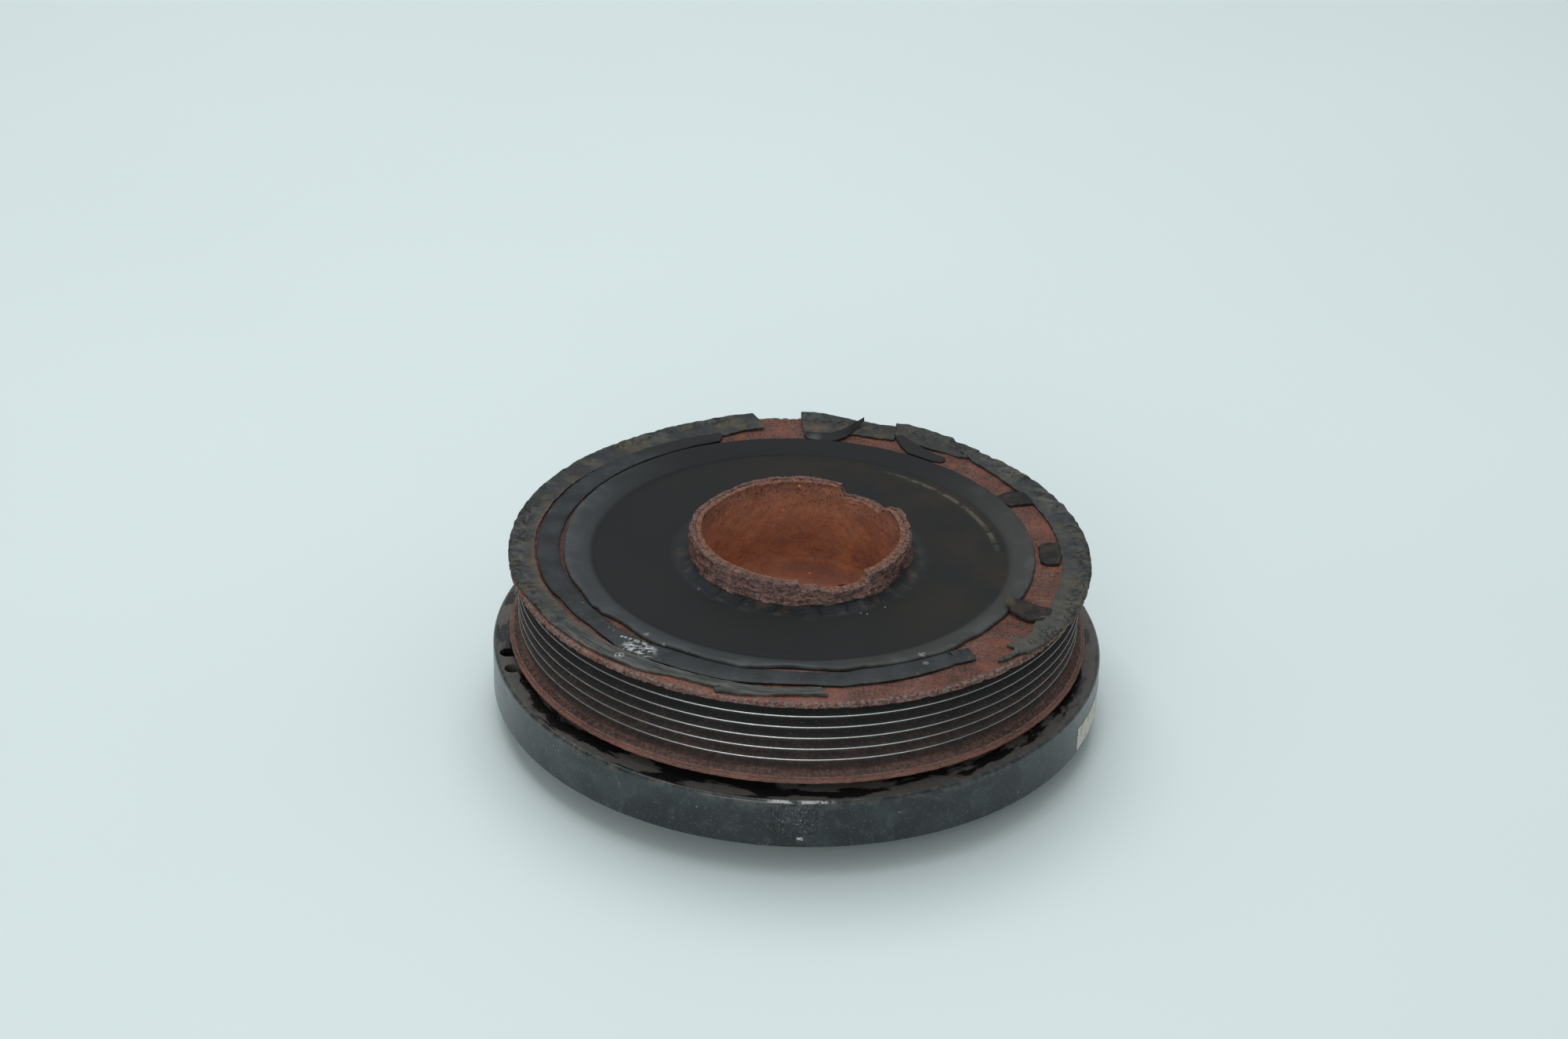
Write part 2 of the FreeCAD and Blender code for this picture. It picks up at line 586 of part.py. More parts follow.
def make_skins():
    # Outer film, left side, from the rear round to the front.
    make_skin("skin_left", [
        polar("film_out_r", 99.8, AXIS), polar("film_out_r", 190, AXIS),
        *edge_line("film_out_r", [(198, 0), (204, -1.2), (214, -1.4), (223, -2.1), (229, -1.6), (236, -2),
                                  (241, -2.9), (245, -4.2), (251, -4.2), (254, -3.5), (255, -1.6),
                                  (262, -2.4), (269, -3.8), (275, -3.6), (276.4, -3.1), (275.4, -6.8)]),
        *edge_line("film_in_r", [(275.7, 0.1), (272, 0.2), (266, 1.3), (258, 0.6), (246, 0), (236, 0.1),
                                 (228, 0), (222, -0.3), (207, -0.3)]),
        polar("film_in_r", 200, AXIS), polar("film_in_r", 110), polar("film_in_r + 0.6", 104),
        polar("film_in_r + 1", 99.3), polar("film_out_r - 3", 99.2),
    ])
    # Middle strip, from the rear left round to the front right.
    make_skin("rubber_strip", [
        polar("strip_out_r", 110.5, AXIS), polar("strip_out_r", 200),
        *edge_line("strip_out_r", [(206, -0.9), (220, -1.2), (227, 0.2), (236, 0.1), (254, 0.3), (264, -0.5),
                                   (272, -0.9), (276, 0.3), (290, 0.2), (297, -0.1), (306, 0.5),
                                   (309.5, 0.1), (311, -0.6), (311.8, -2.4), (311.2, -6.2)]),
        *edge_line("strip_in_r", [(309, 0), (300, -0.2), (295, -0.4), (287, -0.5), (283.3, -0.4), (281, 0.7),
                                  (277, -0.1), (270, -0.5), (265, -0.5), (258, 0.1), (249, -0.4),
                                  (244, -0.5), (240, -0.7), (238, 0), (234, 0.5), (226, 0.7), (222, 0.4),
                                  (218, -0.2), (206, -0.5), (196, -0.2), (182, 0.3), (160, 0.1),
                                  (113, -0.1)]),
        polar("(strip_in_r + strip_out_r) / 2", 111.6),
    ])
    # Outer film, right side, from the front round to the rear.
    make_skin("skin_right", [
        polar("film_in_r - 0.4", -40.5), polar("film_in_r + 1.8", -40.5), polar("film_out_r - 2.4", -42),
        polar("film_out_r - 1.2", -39.5), polar("film_out_r - 1.2", -30), polar("film_out_r", -24, AXIS),
        polar("film_out_r", 53.5), polar("film_in_r + 2", 53.8), polar("film_in_r + 2.6", 51),
        *edge_line("film_in_r", [(48, 0.6), (44, 0.1), (36, -0.8), (20, -0.9), (4, -0.9), (-12, -0.6),
                                 (-24, -1), (-30, -0.9), (-32, 0.2), (-34, 1.2), (-37, 0.7)]),
    ])
    # Short stretch of the film between the two flaps.
    make_skin("skin_rear", [
        polar("film_out_r", 71, AXIS), polar("film_out_r", 77), polar("film_in_r + 3.4", 77.6),
        polar("film_in_r - 1.2", 78.2), polar("film_in_r - 0.9", 71.6), polar("film_in_r + 3", 70.8),
    ])
    # Scraps that bridge the bare steel on the right.
    make_skin("tab_back", edge_line("strip_in_r", [
        (33.6, 0.2), (33.9, 3.6), (31, 4.6), (28.2, 5.8), (25.8, 5.6), (26.3, 2.8), (27.2, 0.4), (30, 0.1),
    ]))
    make_skin("tab_middle", edge_line("strip_in_r", [
        (7.7, 0.6), (7.6, 5.0), (6.4, 6.2), (-0.8, 6.1), (-2.0, 4.8), (-1.8, 0.9), (-0.8, 0.1), (6.8, 0.0),
    ]))
    make_skin("tab_front", edge_line("strip_in_r", [
        (-20.4, 0.3), (-23, 4.5), (-23.4, 6.0), (-28.6, 6.0), (-29.7, 4.8), (-29.6, 0.2), (-26, -0.2),
    ]))


def make_flap(name, azimuth, angle, corners):
    """Flap of the skin: held on the web, its outer edge lifted, trimmed to a torn outline."""
    body = turned(name, [
        ("strip_in_r - 0.5", "rim_front"),
        ("film_in_r", "rim_front"),
        ("film_out_r", "rim_front + flap_lift"),
        ("film_out_r", "skin_front + flap_lift"),
        ("film_in_r", "skin_front"),
        ("strip_in_r - 0.5", "skin_front"),
    ], angle, azimuth)
    trim = body.newObject("PartDesign::Pocket", name + "_trim")
    sketch = new_sketch(body, name + "_outline", "XY_Plane", corners, "rim_front")
    round_hole(sketch, "0", "0", "film_out_r + 5 * tear_unit")
    trim.Profile = sketch
    trim.Type = "ThroughAll"
    trim.Reversed = True


def make_flaps():
    make_flap("flap_left", 76, 16, [
        polar("film_out_r + 0.5", 90.6), polar("film_in_r", 90), polar("strip_in_r + 1.6", 89.5),
        polar("strip_in_r + 0.2", 87.6), polar("strip_in_r", 83), polar("strip_in_r + 2.5", 81.4),
        polar("film_in_r - 2.8", 80), polar("film_in_r + 1", 78.9), polar("film_out_r - 2.6", 78.1),
        polar("film_out_r + 0.5", 78.3),
    ])
    make_flap("flap_right", 52, 19, [
        polar("film_out_r + 0.5", 70.3), polar("film_in_r + 3", 70), polar("film_in_r + 0.6", 69),
        polar("film_in_r - 2.6", 66), polar("strip_in_r + 2", 63.6), polar("strip_in_r + 0.4", 61.5),
        polar("strip_in_r + 0.3", 55), polar("strip_in_r + 2.2", 53.6), polar("strip_in_r + 4.6", 54.2),
        polar("film_in_r - 1", 56), polar("film_in_r + 3.5", 55.4), polar("film_out_r + 0.5", 56.6),
    ])


make_hub()
make_damper()
make_bearing()
make_pulley_rim()
make_drive_ring()
make_coupling_rubber()
make_skins()
make_flaps()
doc.recompute()

for item in doc.Objects:
    if {"Invalid", "Error"} & set(item.State):
        raise RuntimeError(f"{item.Label} failed to build: {item.State}")

bodies = [item for item in doc.Objects if item.TypeId == "PartDesign::Body"]
for body in bodies:
    if body.Shape.isNull() or not body.Shape.isValid() or not body.Shape.Solids:
        raise RuntimeError(f"{body.Label} has no sound shape")

os.makedirs("parts", exist_ok=True)
for body in bodies:
    body.Shape.exportStep(f"parts/{body.Label}.step")
    box = body.Shape.BoundBox
    print(f"{body.Label}: {len(body.Shape.Solids)} solid, {body.Shape.Volume:.0f} mm3, "
          f"z {box.ZMin:.2f} to {box.ZMax:.2f}, x {box.XMin:.2f} to {box.XMax:.2f}")
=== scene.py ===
import math

import bpy
from mathutils import Matrix, Vector, noise


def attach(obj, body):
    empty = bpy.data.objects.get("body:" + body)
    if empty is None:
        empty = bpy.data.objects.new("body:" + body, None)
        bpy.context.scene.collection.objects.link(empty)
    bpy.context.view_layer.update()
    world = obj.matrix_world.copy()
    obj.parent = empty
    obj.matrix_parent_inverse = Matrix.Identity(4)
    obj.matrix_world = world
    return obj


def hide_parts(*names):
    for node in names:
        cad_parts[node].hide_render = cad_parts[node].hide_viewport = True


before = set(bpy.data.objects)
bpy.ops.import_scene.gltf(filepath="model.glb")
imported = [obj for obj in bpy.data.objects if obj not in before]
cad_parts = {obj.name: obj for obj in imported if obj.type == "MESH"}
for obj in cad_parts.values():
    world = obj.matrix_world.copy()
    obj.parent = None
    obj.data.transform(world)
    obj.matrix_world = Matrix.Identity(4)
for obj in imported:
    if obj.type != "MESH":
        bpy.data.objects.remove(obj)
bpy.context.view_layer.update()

MM = 0.001

# Sizes in mm, as the CAD part has them. Heights count from the hub's rear face.
WEB_FACE = 52.0
COLLAR_FOOT = 50.8
GROOVE_COUNT = 6
GROOVE_PITCH = 3.56
FRONT_GROOVE = 47.9
REAR_CREST = FRONT_GROOVE - (GROOVE_COUNT - 1.5) * GROOVE_PITCH
LABEL_R = 91.74


# Places round the axis: azimuth in degrees, radius and height in mm.


def round_place(azimuth, radius, height):
    turn = math.radians(azimuth)
    return Vector((radius * math.cos(turn), radius * math.sin(turn), height)) * MM


def place_of(vertex):
    """Azimuth, radius and height of a vertex."""
    x, y, z = vertex.co / MM
    return math.degrees(math.atan2(y, x)) % 360, math.hypot(x, y), z


def along(points, azimuth):
    """Value at an azimuth, from a list of (azimuth, value) that runs once round."""
    for (before, low), (after, high) in zip(points, points[1:]):
        if before <= azimuth <= after:
            return low + (high - low) * (azimuth - before) / (after - before)
    return points[-1][1]


def soft_step(low, high, value):
    """0 below low, 1 above high, smooth between; low may be the larger."""
    share = min(1, max(0, (value - low) / (high - low)))
    return share * share * (3 - 2 * share)


def grain(azimuth, radius, height, size, seed=0):
    """Smooth noise from -1 to 1 in space, with bumps of a size in mm."""
    spot = round_place(azimuth, radius, height) / (MM * size)
    return noise.noise(spot + Vector((seed * 17.3, seed * 5.1, seed * 9.7)))


def ragged(azimuth, radius, seed=0):
    """Unevenness of a torn edge in mm, coarse and fine together."""
    return sum(strength * grain(azimuth, radius, seed, size, seed)
               for strength, size in ((0.6, 5), (0.35, 1.7), (0.2, 0.7)))


def ripple(azimuth, radius, size, depth):
    """Wrinkles that run outwards across the film, in mm."""
    turn = math.radians(azimuth)
    spot = Vector((math.cos(turn) * 83 / size, math.sin(turn) * 83 / size, radius / 7))
    return depth * (noise.noise(spot) + 0.5 * noise.noise(spot * 2.1))


# Modelling, each piece from a primitive.


def put_down():
    """Leaves edit mode and deselects everything."""
    if bpy.context.object and bpy.context.object.mode != "OBJECT":
        bpy.ops.object.mode_set(mode="OBJECT")
    bpy.ops.object.select_all(action="DESELECT")


def taken_up(piece):
    """Makes a piece the selected and active one."""
    put_down()
    piece.select_set(True)
    bpy.context.view_layer.objects.active = piece


def facing_out():
    """Turns the active piece's faces outwards."""
    bpy.ops.object.mode_set(mode="EDIT")
    bpy.ops.mesh.select_all(action="SELECT")
    bpy.ops.mesh.normals_make_consistent(inside=False)
    bpy.ops.object.mode_set(mode="OBJECT")


def applied(piece, kind, **settings):
    """Adds a modifier to a piece and applies it."""
    taken_up(piece)
    modifier = piece.modifiers.new(kind.title(), kind)
    for name, value in settings.items():
        setattr(modifier, name, value)
    bpy.ops.object.modifier_apply(modifier=modifier.name)


def finished(piece, finish, node=None, angle=40):
    """Smooth shading, material, and the piece's place in the part."""
    taken_up(piece)
    bpy.ops.object.shade_smooth_by_angle(angle=math.radians(angle))
    piece.data.materials.clear()
    piece.data.materials.append(finish)
    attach(piece, "root")
    if node:
        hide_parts(node)


def filled_in(corners, step, hidden):
    """Profile with corners added along its seen run, no farther apart than a step."""
    points = [corners[0]]
    for start, end in zip(corners, corners[1:]):
        parts = max(1, math.ceil(math.dist(start, end) / step))
        points += [tuple(a + (b - a) * part / parts for a, b in zip(start, end))
                   for part in range(1, parts + 1)]
    return points + hidden


def turned(name, profile, steps):
    """Closed profile of (radius, height) corners, extruded corner by corner, swept round."""
    put_down()
    bpy.ops.mesh.primitive_plane_add(size=MM)
    piece = bpy.context.object
    piece.name = piece.data.name = name
    bpy.ops.object.mode_set(mode="EDIT")
    bpy.ops.mesh.select_all(action="SELECT")
    bpy.ops.mesh.merge(type="CENTER")
    here = round_place(0, *profile[0])
    bpy.ops.transform.translate(value=here)
    for corner in profile[1:] + profile[:1]:
        there = round_place(0, *corner)
        bpy.ops.mesh.extrude_vertices_move(TRANSFORM_OT_translate={"value": there - here})
        here = there
    bpy.ops.mesh.select_all(action="SELECT")
    bpy.ops.mesh.remove_doubles(threshold=MM / 1000)
    bpy.ops.object.mode_set(mode="OBJECT")
    applied(piece, "SCREW", steps=steps, render_steps=steps, use_merge_vertices=True,
            merge_threshold=MM / 1000)
    facing_out()
    return piece


def reshaped(piece, place):
    """Moves each vertex to what place gives for its azimuth, radius and height."""
    for vertex in piece.data.vertices:
        vertex.co = round_place(*place(*place_of(vertex)))
    piece.data.update()


def pitted(piece, depth):
    """Moves each vertex along its normal by what depth gives for its place."""
    normals = [vertex.normal.copy() for vertex in piece.data.vertices]
    for vertex, normal in zip(piece.data.vertices, normals):
        vertex.co += normal * MM * depth(*place_of(vertex))
    piece.data.update()


def spans(points):
    """Length in mm of each run of a line of (azimuth, radius, height) points."""
    return [math.hypot(math.radians(b[0] - a[0]) * (a[1] + b[1]) / 2, b[1] - a[1], b[2] - a[2])
            for a, b in zip(points, points[1:])]


def walk(points, share):
    """Place at a share of the way along a line of points."""
    lengths = spans(points)
    left = share * sum(lengths)
    for start, end, length in zip(points, points[1:], lengths):
        if left <= length:
            return Vector(start).lerp(Vector(end), left / length if length else 0)
        left -= length
    return Vector(points[-1])


def on_web(points):
    """Edge of (azimuth, radius, height) points; a third number given is a rise above the web."""
    return [(azimuth, radius, WEB_FACE + sum(rise)) for azimuth, radius, *rise in points]


def torn_line(points, seed, step=0.6, strength=0.5):
    """Edge on the web made ragged, with a point at every step in degrees."""
    points = on_web(points)
    line = []
    for start, end in zip(points, points[1:]):
        parts = max(1, math.ceil(abs(end[0] - start[0]) / step))
        line += [Vector(start).lerp(Vector(end), part / parts) for part in range(parts)]
    return [(azimuth, radius + strength * ragged(azimuth, radius, seed), height)
            for azimuth, radius, height in line + [points[-1]]]


def torn_sheet(name, inner, outer, start, end, lift, cell=0.4, thick=0.7):
    """Sheet of rubber between four edges of (azimuth, radius, height) points.

    Lift gives the height of its top above the edges, at an azimuth, a radius and a share
    of the way across.
    """
    length = max(sum(spans(inner)), sum(spans(outer)))
    width = max(sum(spans(start)), sum(spans(end)))
    put_down()
    bpy.ops.mesh.primitive_grid_add(x_subdivisions=max(4, round(length / cell)),
                                    y_subdivisions=max(4, round(width / cell)), size=1)
    piece = bpy.context.object
    piece.name = piece.data.name = name
    places = {}

    def edge_place(key, line, share):
        if (key, share) not in places:
            places[key, share] = walk(line, share)
        return places[key, share]

    for vertex in piece.data.vertices:
        u, v = round(vertex.co.x + 0.5, 6), round(vertex.co.y + 0.5, 6)
        corners = (Vector(inner[0]) * (1 - u) * (1 - v) + Vector(inner[-1]) * u * (1 - v)
                   + Vector(outer[0]) * (1 - u) * v + Vector(outer[-1]) * u * v)
        azimuth, radius, height = (
            edge_place("inner", inner, u) * (1 - v) + edge_place("outer", outer, u) * v
            + edge_place("start", start, v) * (1 - u) + edge_place("end", end, v) * u - corners)
        vertex.co = round_place(azimuth, radius, height + lift(azimuth, radius, v))
    piece.data.update()
    facing_out()
    if sum(face.normal.z for face in piece.data.polygons) < 0:
        piece.data.flip_normals()
    applied(piece, "SOLIDIFY", thickness=thick * MM, offset=-1, use_even_offset=True,
            use_quality_normals=True)
    applied(piece, "BEVEL", width=thick * 0.28 * MM, segments=2, limit_method="ANGLE",
            angle_limit=math.radians(50))
    return piece


# Shader maths as plain arithmetic.


class Wire:
    """A socket of a finish. Arithmetic on it adds Math nodes."""

    def __init__(self, finish, socket):
        self.finish = finish
        self.socket = socket

    def maths(self, operation, first, second=0.0):
        return self.finish.node("ShaderNodeMath", {"operation": operation}, {0: first, 1: second})

    def __add__(self, other):
        return self.maths("ADD", self, other)

    def __sub__(self, other):
        return self.maths("SUBTRACT", self, other)

    def __rsub__(self, other):
        return self.maths("SUBTRACT", other, self)

    def __mul__(self, other):
        return self.maths("MULTIPLY", self, other)

    def __truediv__(self, other):
        return self.maths("DIVIDE", self, other)

    def __mod__(self, other):
        return self.maths("MODULO", self, other)

    def __pow__(self, other):
        return self.maths("POWER", self, other)

    def __abs__(self):
        return self.maths("ABSOLUTE", self)

    __radd__ = __add__
    __rmul__ = __mul__

    def most(self, other):
        return self.maths("MAXIMUM", self, other)

    def rise(self, low, high):
        """0 below low, 1 above high, smooth between; low may be the larger."""
        return self.finish.node("ShaderNodeMapRange", {"interpolation_type": "SMOOTHSTEP"}, {
            "Value": self, "From Min": low, "From Max": high})


class Finish:
    """A material under construction, on the object's own coordinates in mm.

    Across, deep and height are those coordinates, colour is the colour so far.
    """

    def __init__(self, name):
        self.material = bpy.data.materials.new(name)
        self.material.use_nodes = True
        self.tree = self.material.node_tree
        self.tree.nodes.clear()
        self.place = self.node("ShaderNodeTexCoord", output="Object")
        self.across, self.deep, self.height = (
            self.node("ShaderNodeSeparateXYZ", {}, {0: self.place}, axis) * 1000 for axis in "XYZ")
        self.radius = (self.across * self.across + self.deep * self.deep) ** 0.5
        self.colour = None

    def node(self, kind, settings={}, inputs={}, output=0):
        """Adds a node: its settings first, then its sockets' values or links."""
        node = self.tree.nodes.new(kind)
        for name, value in settings.items():
            if name == "stops":
                ramp = node.color_ramp
                for number, (position, colour) in enumerate(value):
                    stop = ramp.elements[number] if number < 2 else ramp.elements.new(position)
                    stop.position = position
                    stop.color = (*colour, 1)
            else:
                setattr(node, name, value)
        for name, value in inputs.items():
            if isinstance(value, Wire):
                self.tree.links.new(value.socket, node.inputs[name])
            else:
                node.inputs[name].default_value = value
        return Wire(self, node.outputs[output]) if node.outputs else None

    def mapped(self, size, shift, place=None, stretch=(1, 1, 1)):
        """Coordinates on which one unit is a size in mm."""
        return self.node("ShaderNodeMapping", {}, {
            "Vector": place or self.place, "Location": shift,
            "Scale": tuple(1000 / size * part for part in stretch)})

    def bumps(self, size, detail, rough, shift=(0, 0, 0), place=None, stretch=(1, 1, 1)):
        """Noise from 0 to 1 with features of a size in mm."""
        return self.node("ShaderNodeTexNoise", {}, {
            "Vector": self.mapped(size, shift, place, stretch), "Scale": 1.0, "Detail": detail,
            "Roughness": rough}, "Fac")

    def flakes(self, size, shift):
        """Distance to the nearest of scattered spots, 0 at a spot."""
        return self.node("ShaderNodeTexVoronoi", {}, {
            "Vector": self.mapped(size, shift), "Scale": 1.0}, "Distance")

    def round_about(self, girth, outward, upward, sway=0.0, slant=0.0):
        """Coordinates that follow the turning: features long or short along the way round.

        Sway bends them at random, slant turns them with the radius, both in radians.
        """
        turn = self.node("ShaderNodeVectorMath", {"operation": "NORMALIZE"}, {
            0: self.node("ShaderNodeCombineXYZ", {}, {
                "X": self.across, "Y": self.deep, "Z": 0.0})}, "Vector")
        if sway:
            angle = (self.bumps(7, 2, 0.5, (4, 4, 2)) - 0.5) * sway + self.radius * slant
            turn = self.node("ShaderNodeVectorRotate", {"rotation_type": "Z_AXIS"}, {
                "Vector": turn, "Angle": angle})
        ring = self.node("ShaderNodeVectorMath", {"operation": "SCALE"}, {
            0: turn, "Scale": girth}, "Vector")
        rise = self.node("ShaderNodeCombineXYZ", {}, {
            "X": 0.0, "Y": 0.0, "Z": self.radius * outward + self.height * upward})
        return self.node("ShaderNodeVectorMath", {"operation": "ADD"}, {
            0: ring, 1: rise}, "Vector")

    def facing_up(self):
        """1 where the surface faces up, 0 where it stands upright."""
        normal = self.node("ShaderNodeTexCoord", output="Normal")
        return self.node("ShaderNodeSeparateXYZ", {}, {0: normal}, "Z").rise(0.35, 0.85)

    def near(self, across, deep, reach, soft):
        """1 round a place seen from the front, in mm, and 0 farther off."""
        off = ((self.across - across) ** 2.0 + (self.deep - deep) ** 2.0) ** 0.5
        return off.rise(reach + soft, reach)

    def colours(self, share, stops):
        return self.node("ShaderNodeValToRGB", {"stops": stops}, {"Fac": share}, "Color")

    def mixed(self, share, first, second):
        first, second = ((*part, 1) if isinstance(part, tuple) else part
                         for part in (first, second))
        return self.node("ShaderNodeMix", {"data_type": "RGBA"}, {
            0: share, 6: first, 7: second}, 2)

    def over(self, share, tint):
        """Lays a tint over the colour so far."""
        self.colour = self.mixed(share, self.colour, tint)

    def ready(self, roughness, relief, gloss=0.3, metallic=0.0):
        """Closes the finish: relief is a height in mm."""
        bump = self.node("ShaderNodeBump", {}, {
            "Height": relief * 0.001, "Distance": 1.0}, "Normal")
        shader = self.node("ShaderNodeBsdfPrincipled", {}, {
            "Base Color": self.colour, "Roughness": roughness, "Metallic": metallic,
            "Normal": bump, "Specular IOR Level": gloss})
        self.node("ShaderNodeOutputMaterial", {}, {"Surface": shader})
        return self.material


def rusted(finish, dark, middle, pale, shift):
    """Colours a finish with rust in patches and grains, and gives its relief in mm."""
    patches = finish.bumps(8, 4, 0.6, shift)
    grains = finish.bumps(0.8, 4, 0.7, shift)
    finish.colour = finish.colours(patches * 0.5 + grains * 0.6, [
        (0.43, dark), (0.55, middle), (0.68, pale)])
    sparks = finish.bumps(0.6, 2, 0.5, (3.1, 8.2, 1.7)).rise(0.6, 0.68)
    finish.over(sparks * 0.6, (0.42, 0.115, 0.04))
    soot = finish.bumps(0.9, 3, 0.6, (9.4, 2.6, 7.3)).rise(0.58, 0.66)
    finish.over(soot * 0.75, (0.02, 0.015, 0.015))
    return grains * 0.3 + sparks * 0.06 - soot * 0.12


def pulley_steel():
    finish = Finish("pulley_steel")
    across, deep, height, radius = finish.across, finish.deep, finish.height, finish.radius
    relief = rusted(finish, dark=(0.05, 0.027, 0.022), middle=(0.15, 0.068, 0.052),
                    pale=(0.26, 0.14, 0.112), shift=(0, 0, 0))
    web = height.rise(51.0, 51.8)
    rosy = finish.bumps(4.5, 4, 0.6, (5, 1, 2)).rise(0.45, 0.62)
    finish.over(web * rosy * 0.5, (0.2, 0.07, 0.052))
    fresh = finish.bumps(6, 5, 0.65, (1, 9, 4)).rise(0.54, 0.64)
    finish.over(web * fresh * 0.55, (0.31, 0.095, 0.04))
    murky = finish.bumps(5, 4, 0.65, (7, 2, 2)).rise(0.56, 0.68)
    finish.over(web * murky * 0.55, (0.062, 0.052, 0.04))
    specks = finish.bumps(0.55, 3, 0.6, (3, 3, 7)).rise(0.58, 0.64)
    finish.over(web * specks * 0.55, (0.035, 0.028, 0.026))
    # darker to the rear and right, paler in front
    away = deep.rise(-62, -25).most(across.rise(8, 28))
    finish.over(web * away * 0.26, (0.028, 0.024, 0.023))
    finish.over(web * (1 - away) * 0.12, (0.42, 0.24, 0.2))
    # painted shade in the narrow gaps beside the strip, on the left
    gap_shade = radius.rise(72.6, 71.8).most(radius.rise(77.2, 77.8) * radius.rise(80.2, 79.6))
    gap_shade = gap_shade * across.rise(5, -30) * finish.bumps(2.4, 4, 0.65).rise(0.34, 0.56)
    finish.over(web * gap_shade * 0.7, (0.062, 0.035, 0.029))
    # front flange, dusty and nibbled
    brow = radius.rise(84.8, 86.2) * height.rise(50.4, 51)
    dusty = finish.bumps(1.3, 5, 0.7, (8, 3, 2)).rise(0.44, 0.6)
    finish.over(brow * dusty * 0.7, (0.235, 0.205, 0.19))
    nibbled = finish.bumps(0.7, 3, 0.6, (5, 5, 1)).rise(0.55, 0.61)
    finish.over(brow * nibbled * 0.75, (0.03, 0.024, 0.022))
    # rear flange: grimy slope, a fine line, then a rusty band
    flange = height.rise(28.6, 28.45) * radius.rise(84, 84.3)
    slope = radius.rise(85.7, 85.4)
    tar = finish.bumps(1.1, 5, 0.72, (4, 7, 2)).rise(0.4, 0.62)
    finish.over(flange * slope * 0.85,
                finish.mixed(tar, (0.026, 0.023, 0.025), (0.13, 0.08, 0.068)))
    band = finish.bumps(6, 4, 0.6, place=finish.round_about(0.04, 0.001, 0.001)).rise(0.4, 0.6)
    finish.over(flange * (1 - slope) * 0.6,
                finish.mixed(band, (0.13, 0.064, 0.052), (0.22, 0.09, 0.064)))
    seam = abs(radius - 85.7).rise(0.16, 0.07) + abs(radius - 86.5).rise(0.1, 0.05)
    worn = finish.bumps(1.2, 3, 0.6, (9, 2, 5)).rise(0.4, 0.56)
    finish.over(flange * seam * worn * 0.55, (0.3, 0.235, 0.21))
    finish.over(flange * deep.rise(-60, -80) * 0.15, (0.35, 0.22, 0.18))
    # belt track: dark grime in the grooves, rust coming through towards the rear
    track = radius.rise(84.7, 84.0) * height.rise(49.9, 49.3)
    track = track * height.rise(28.4, 28.9) * radius.rise(80, 80.6)
    rearward = height.rise(47, 30)
    streaks = finish.bumps(1, 4, 0.6, place=finish.round_about(0.012, 0.0004, 0.0011))
    show = (finish.bumps(1.3, 4, 0.7, (2, 7, 4)) * 0.75 + rearward * 0.1
            + streaks * 0.15).rise(0.52, 0.64)
    grime = finish.mixed(
        rearward, finish.mixed(streaks, (0.024, 0.025, 0.028), (0.04, 0.039, 0.041)),
        finish.mixed(streaks, (0.036, 0.031, 0.03), (0.078, 0.066, 0.061)))
    grime = finish.mixed(show * 0.6, grime, (0.135, 0.08, 0.065))
    dots = finish.bumps(0.6, 2, 0.5, (8, 8, 1)).rise(0.66, 0.71)
    grime = finish.mixed(dots * 0.5, grime, (0.25, 0.215, 0.19))
    finish.over(track, grime)
    # the crests are rubbed to shiny steel; their extra lightness in front is a painted highlight
    beat = ((height - REAR_CREST) / GROOVE_PITCH + 0.5) % 1.0
    crest = (abs(beat - 0.5) * GROOVE_PITCH).rise(0.23, 0.15) * radius.rise(83.8, 83.9)
    crest = crest * track * height.rise(30.5, 31) * height.rise(48, 47.5)
    rubbed_and_front_highlight = finish.bumps(1.6, 3, 0.65, (4, 4, 4)) * 0.45 + deep.rise(-68, -84) * 0.55
    finish.over(crest, finish.mixed(rubbed_and_front_highlight, (0.11, 0.1, 0.09), (0.9, 0.9, 0.87)))
    roughness = (0.82 - track * 0.2) * (1 - crest) + crest * 0.34
    return finish.ready(roughness, relief * (1 - track * 0.6), 0.25, crest * 0.85)


def cup_rust():
    finish = Finish("cup_rust")
    across, deep, height, radius = finish.across, finish.deep, finish.height, finish.radius
    relief = rusted(finish, dark=(0.17, 0.075, 0.05), middle=(0.3, 0.128, 0.08),
                    pale=(0.38, 0.185, 0.125), shift=(7, 3, 1))
    patch = finish.bumps(9, 4, 0.6, (3, 8, 2)).rise(0.36, 0.66)
    finish.over(height.rise(58, 44) * 0.8,
                finish.mixed(patch, (0.36, 0.135, 0.078), (0.5, 0.195, 0.095)))
    bottom = height.rise(33, 30.3)
    finish.over(bottom * 0.85, finish.mixed(patch, (0.25, 0.1, 0.066), (0.33, 0.125, 0.07)))
    hem = radius.rise(25, 28) * deep.rise(-8, -18)
    finish.over(bottom * hem * 0.6, (0.2, 0.088, 0.072))
    # painted light: the left wall, in shade, is lightened
    painted_light_left_wall = across.rise(6, -28) * height.rise(57, 50)
    finish.over(painted_light_left_wall * 0.45, (0.62, 0.27, 0.15))
    murk = finish.bumps(4, 4, 0.6, (2, 2, 6)).rise(0.54, 0.68)
    finish.over(murk * 0.35, (0.19, 0.1, 0.085))
    crust = finish.bumps(1.1, 4, 0.65, (6, 1, 6))
    rim = (finish.facing_up() * height.rise(53, 54.5)).most(
        (height + crust * 1.5 - 0.7).rise(57.3, 58.8))
    finish.over(rim * 0.85, finish.mixed(crust.rise(0.35, 0.65), (0.075, 0.036, 0.027),
                                         (0.25, 0.118, 0.08)))
    spots = finish.flakes(7, (1, 2, 3)).rise(0.085, 0.045)
    few = finish.bumps(7, 1, 0.5, (8, 1, 6)).rise(0.5, 0.6)
    finish.over(spots * few, (0.75, 0.33, 0.1))
    # the hidden part below is plain dull steel
    finish.over(height.rise(29, 21), (0.075, 0.052, 0.043))
    return finish.ready(0.8, relief * 0.7 + murk * 0.1 + crust * rim * 0.3, 0.25)


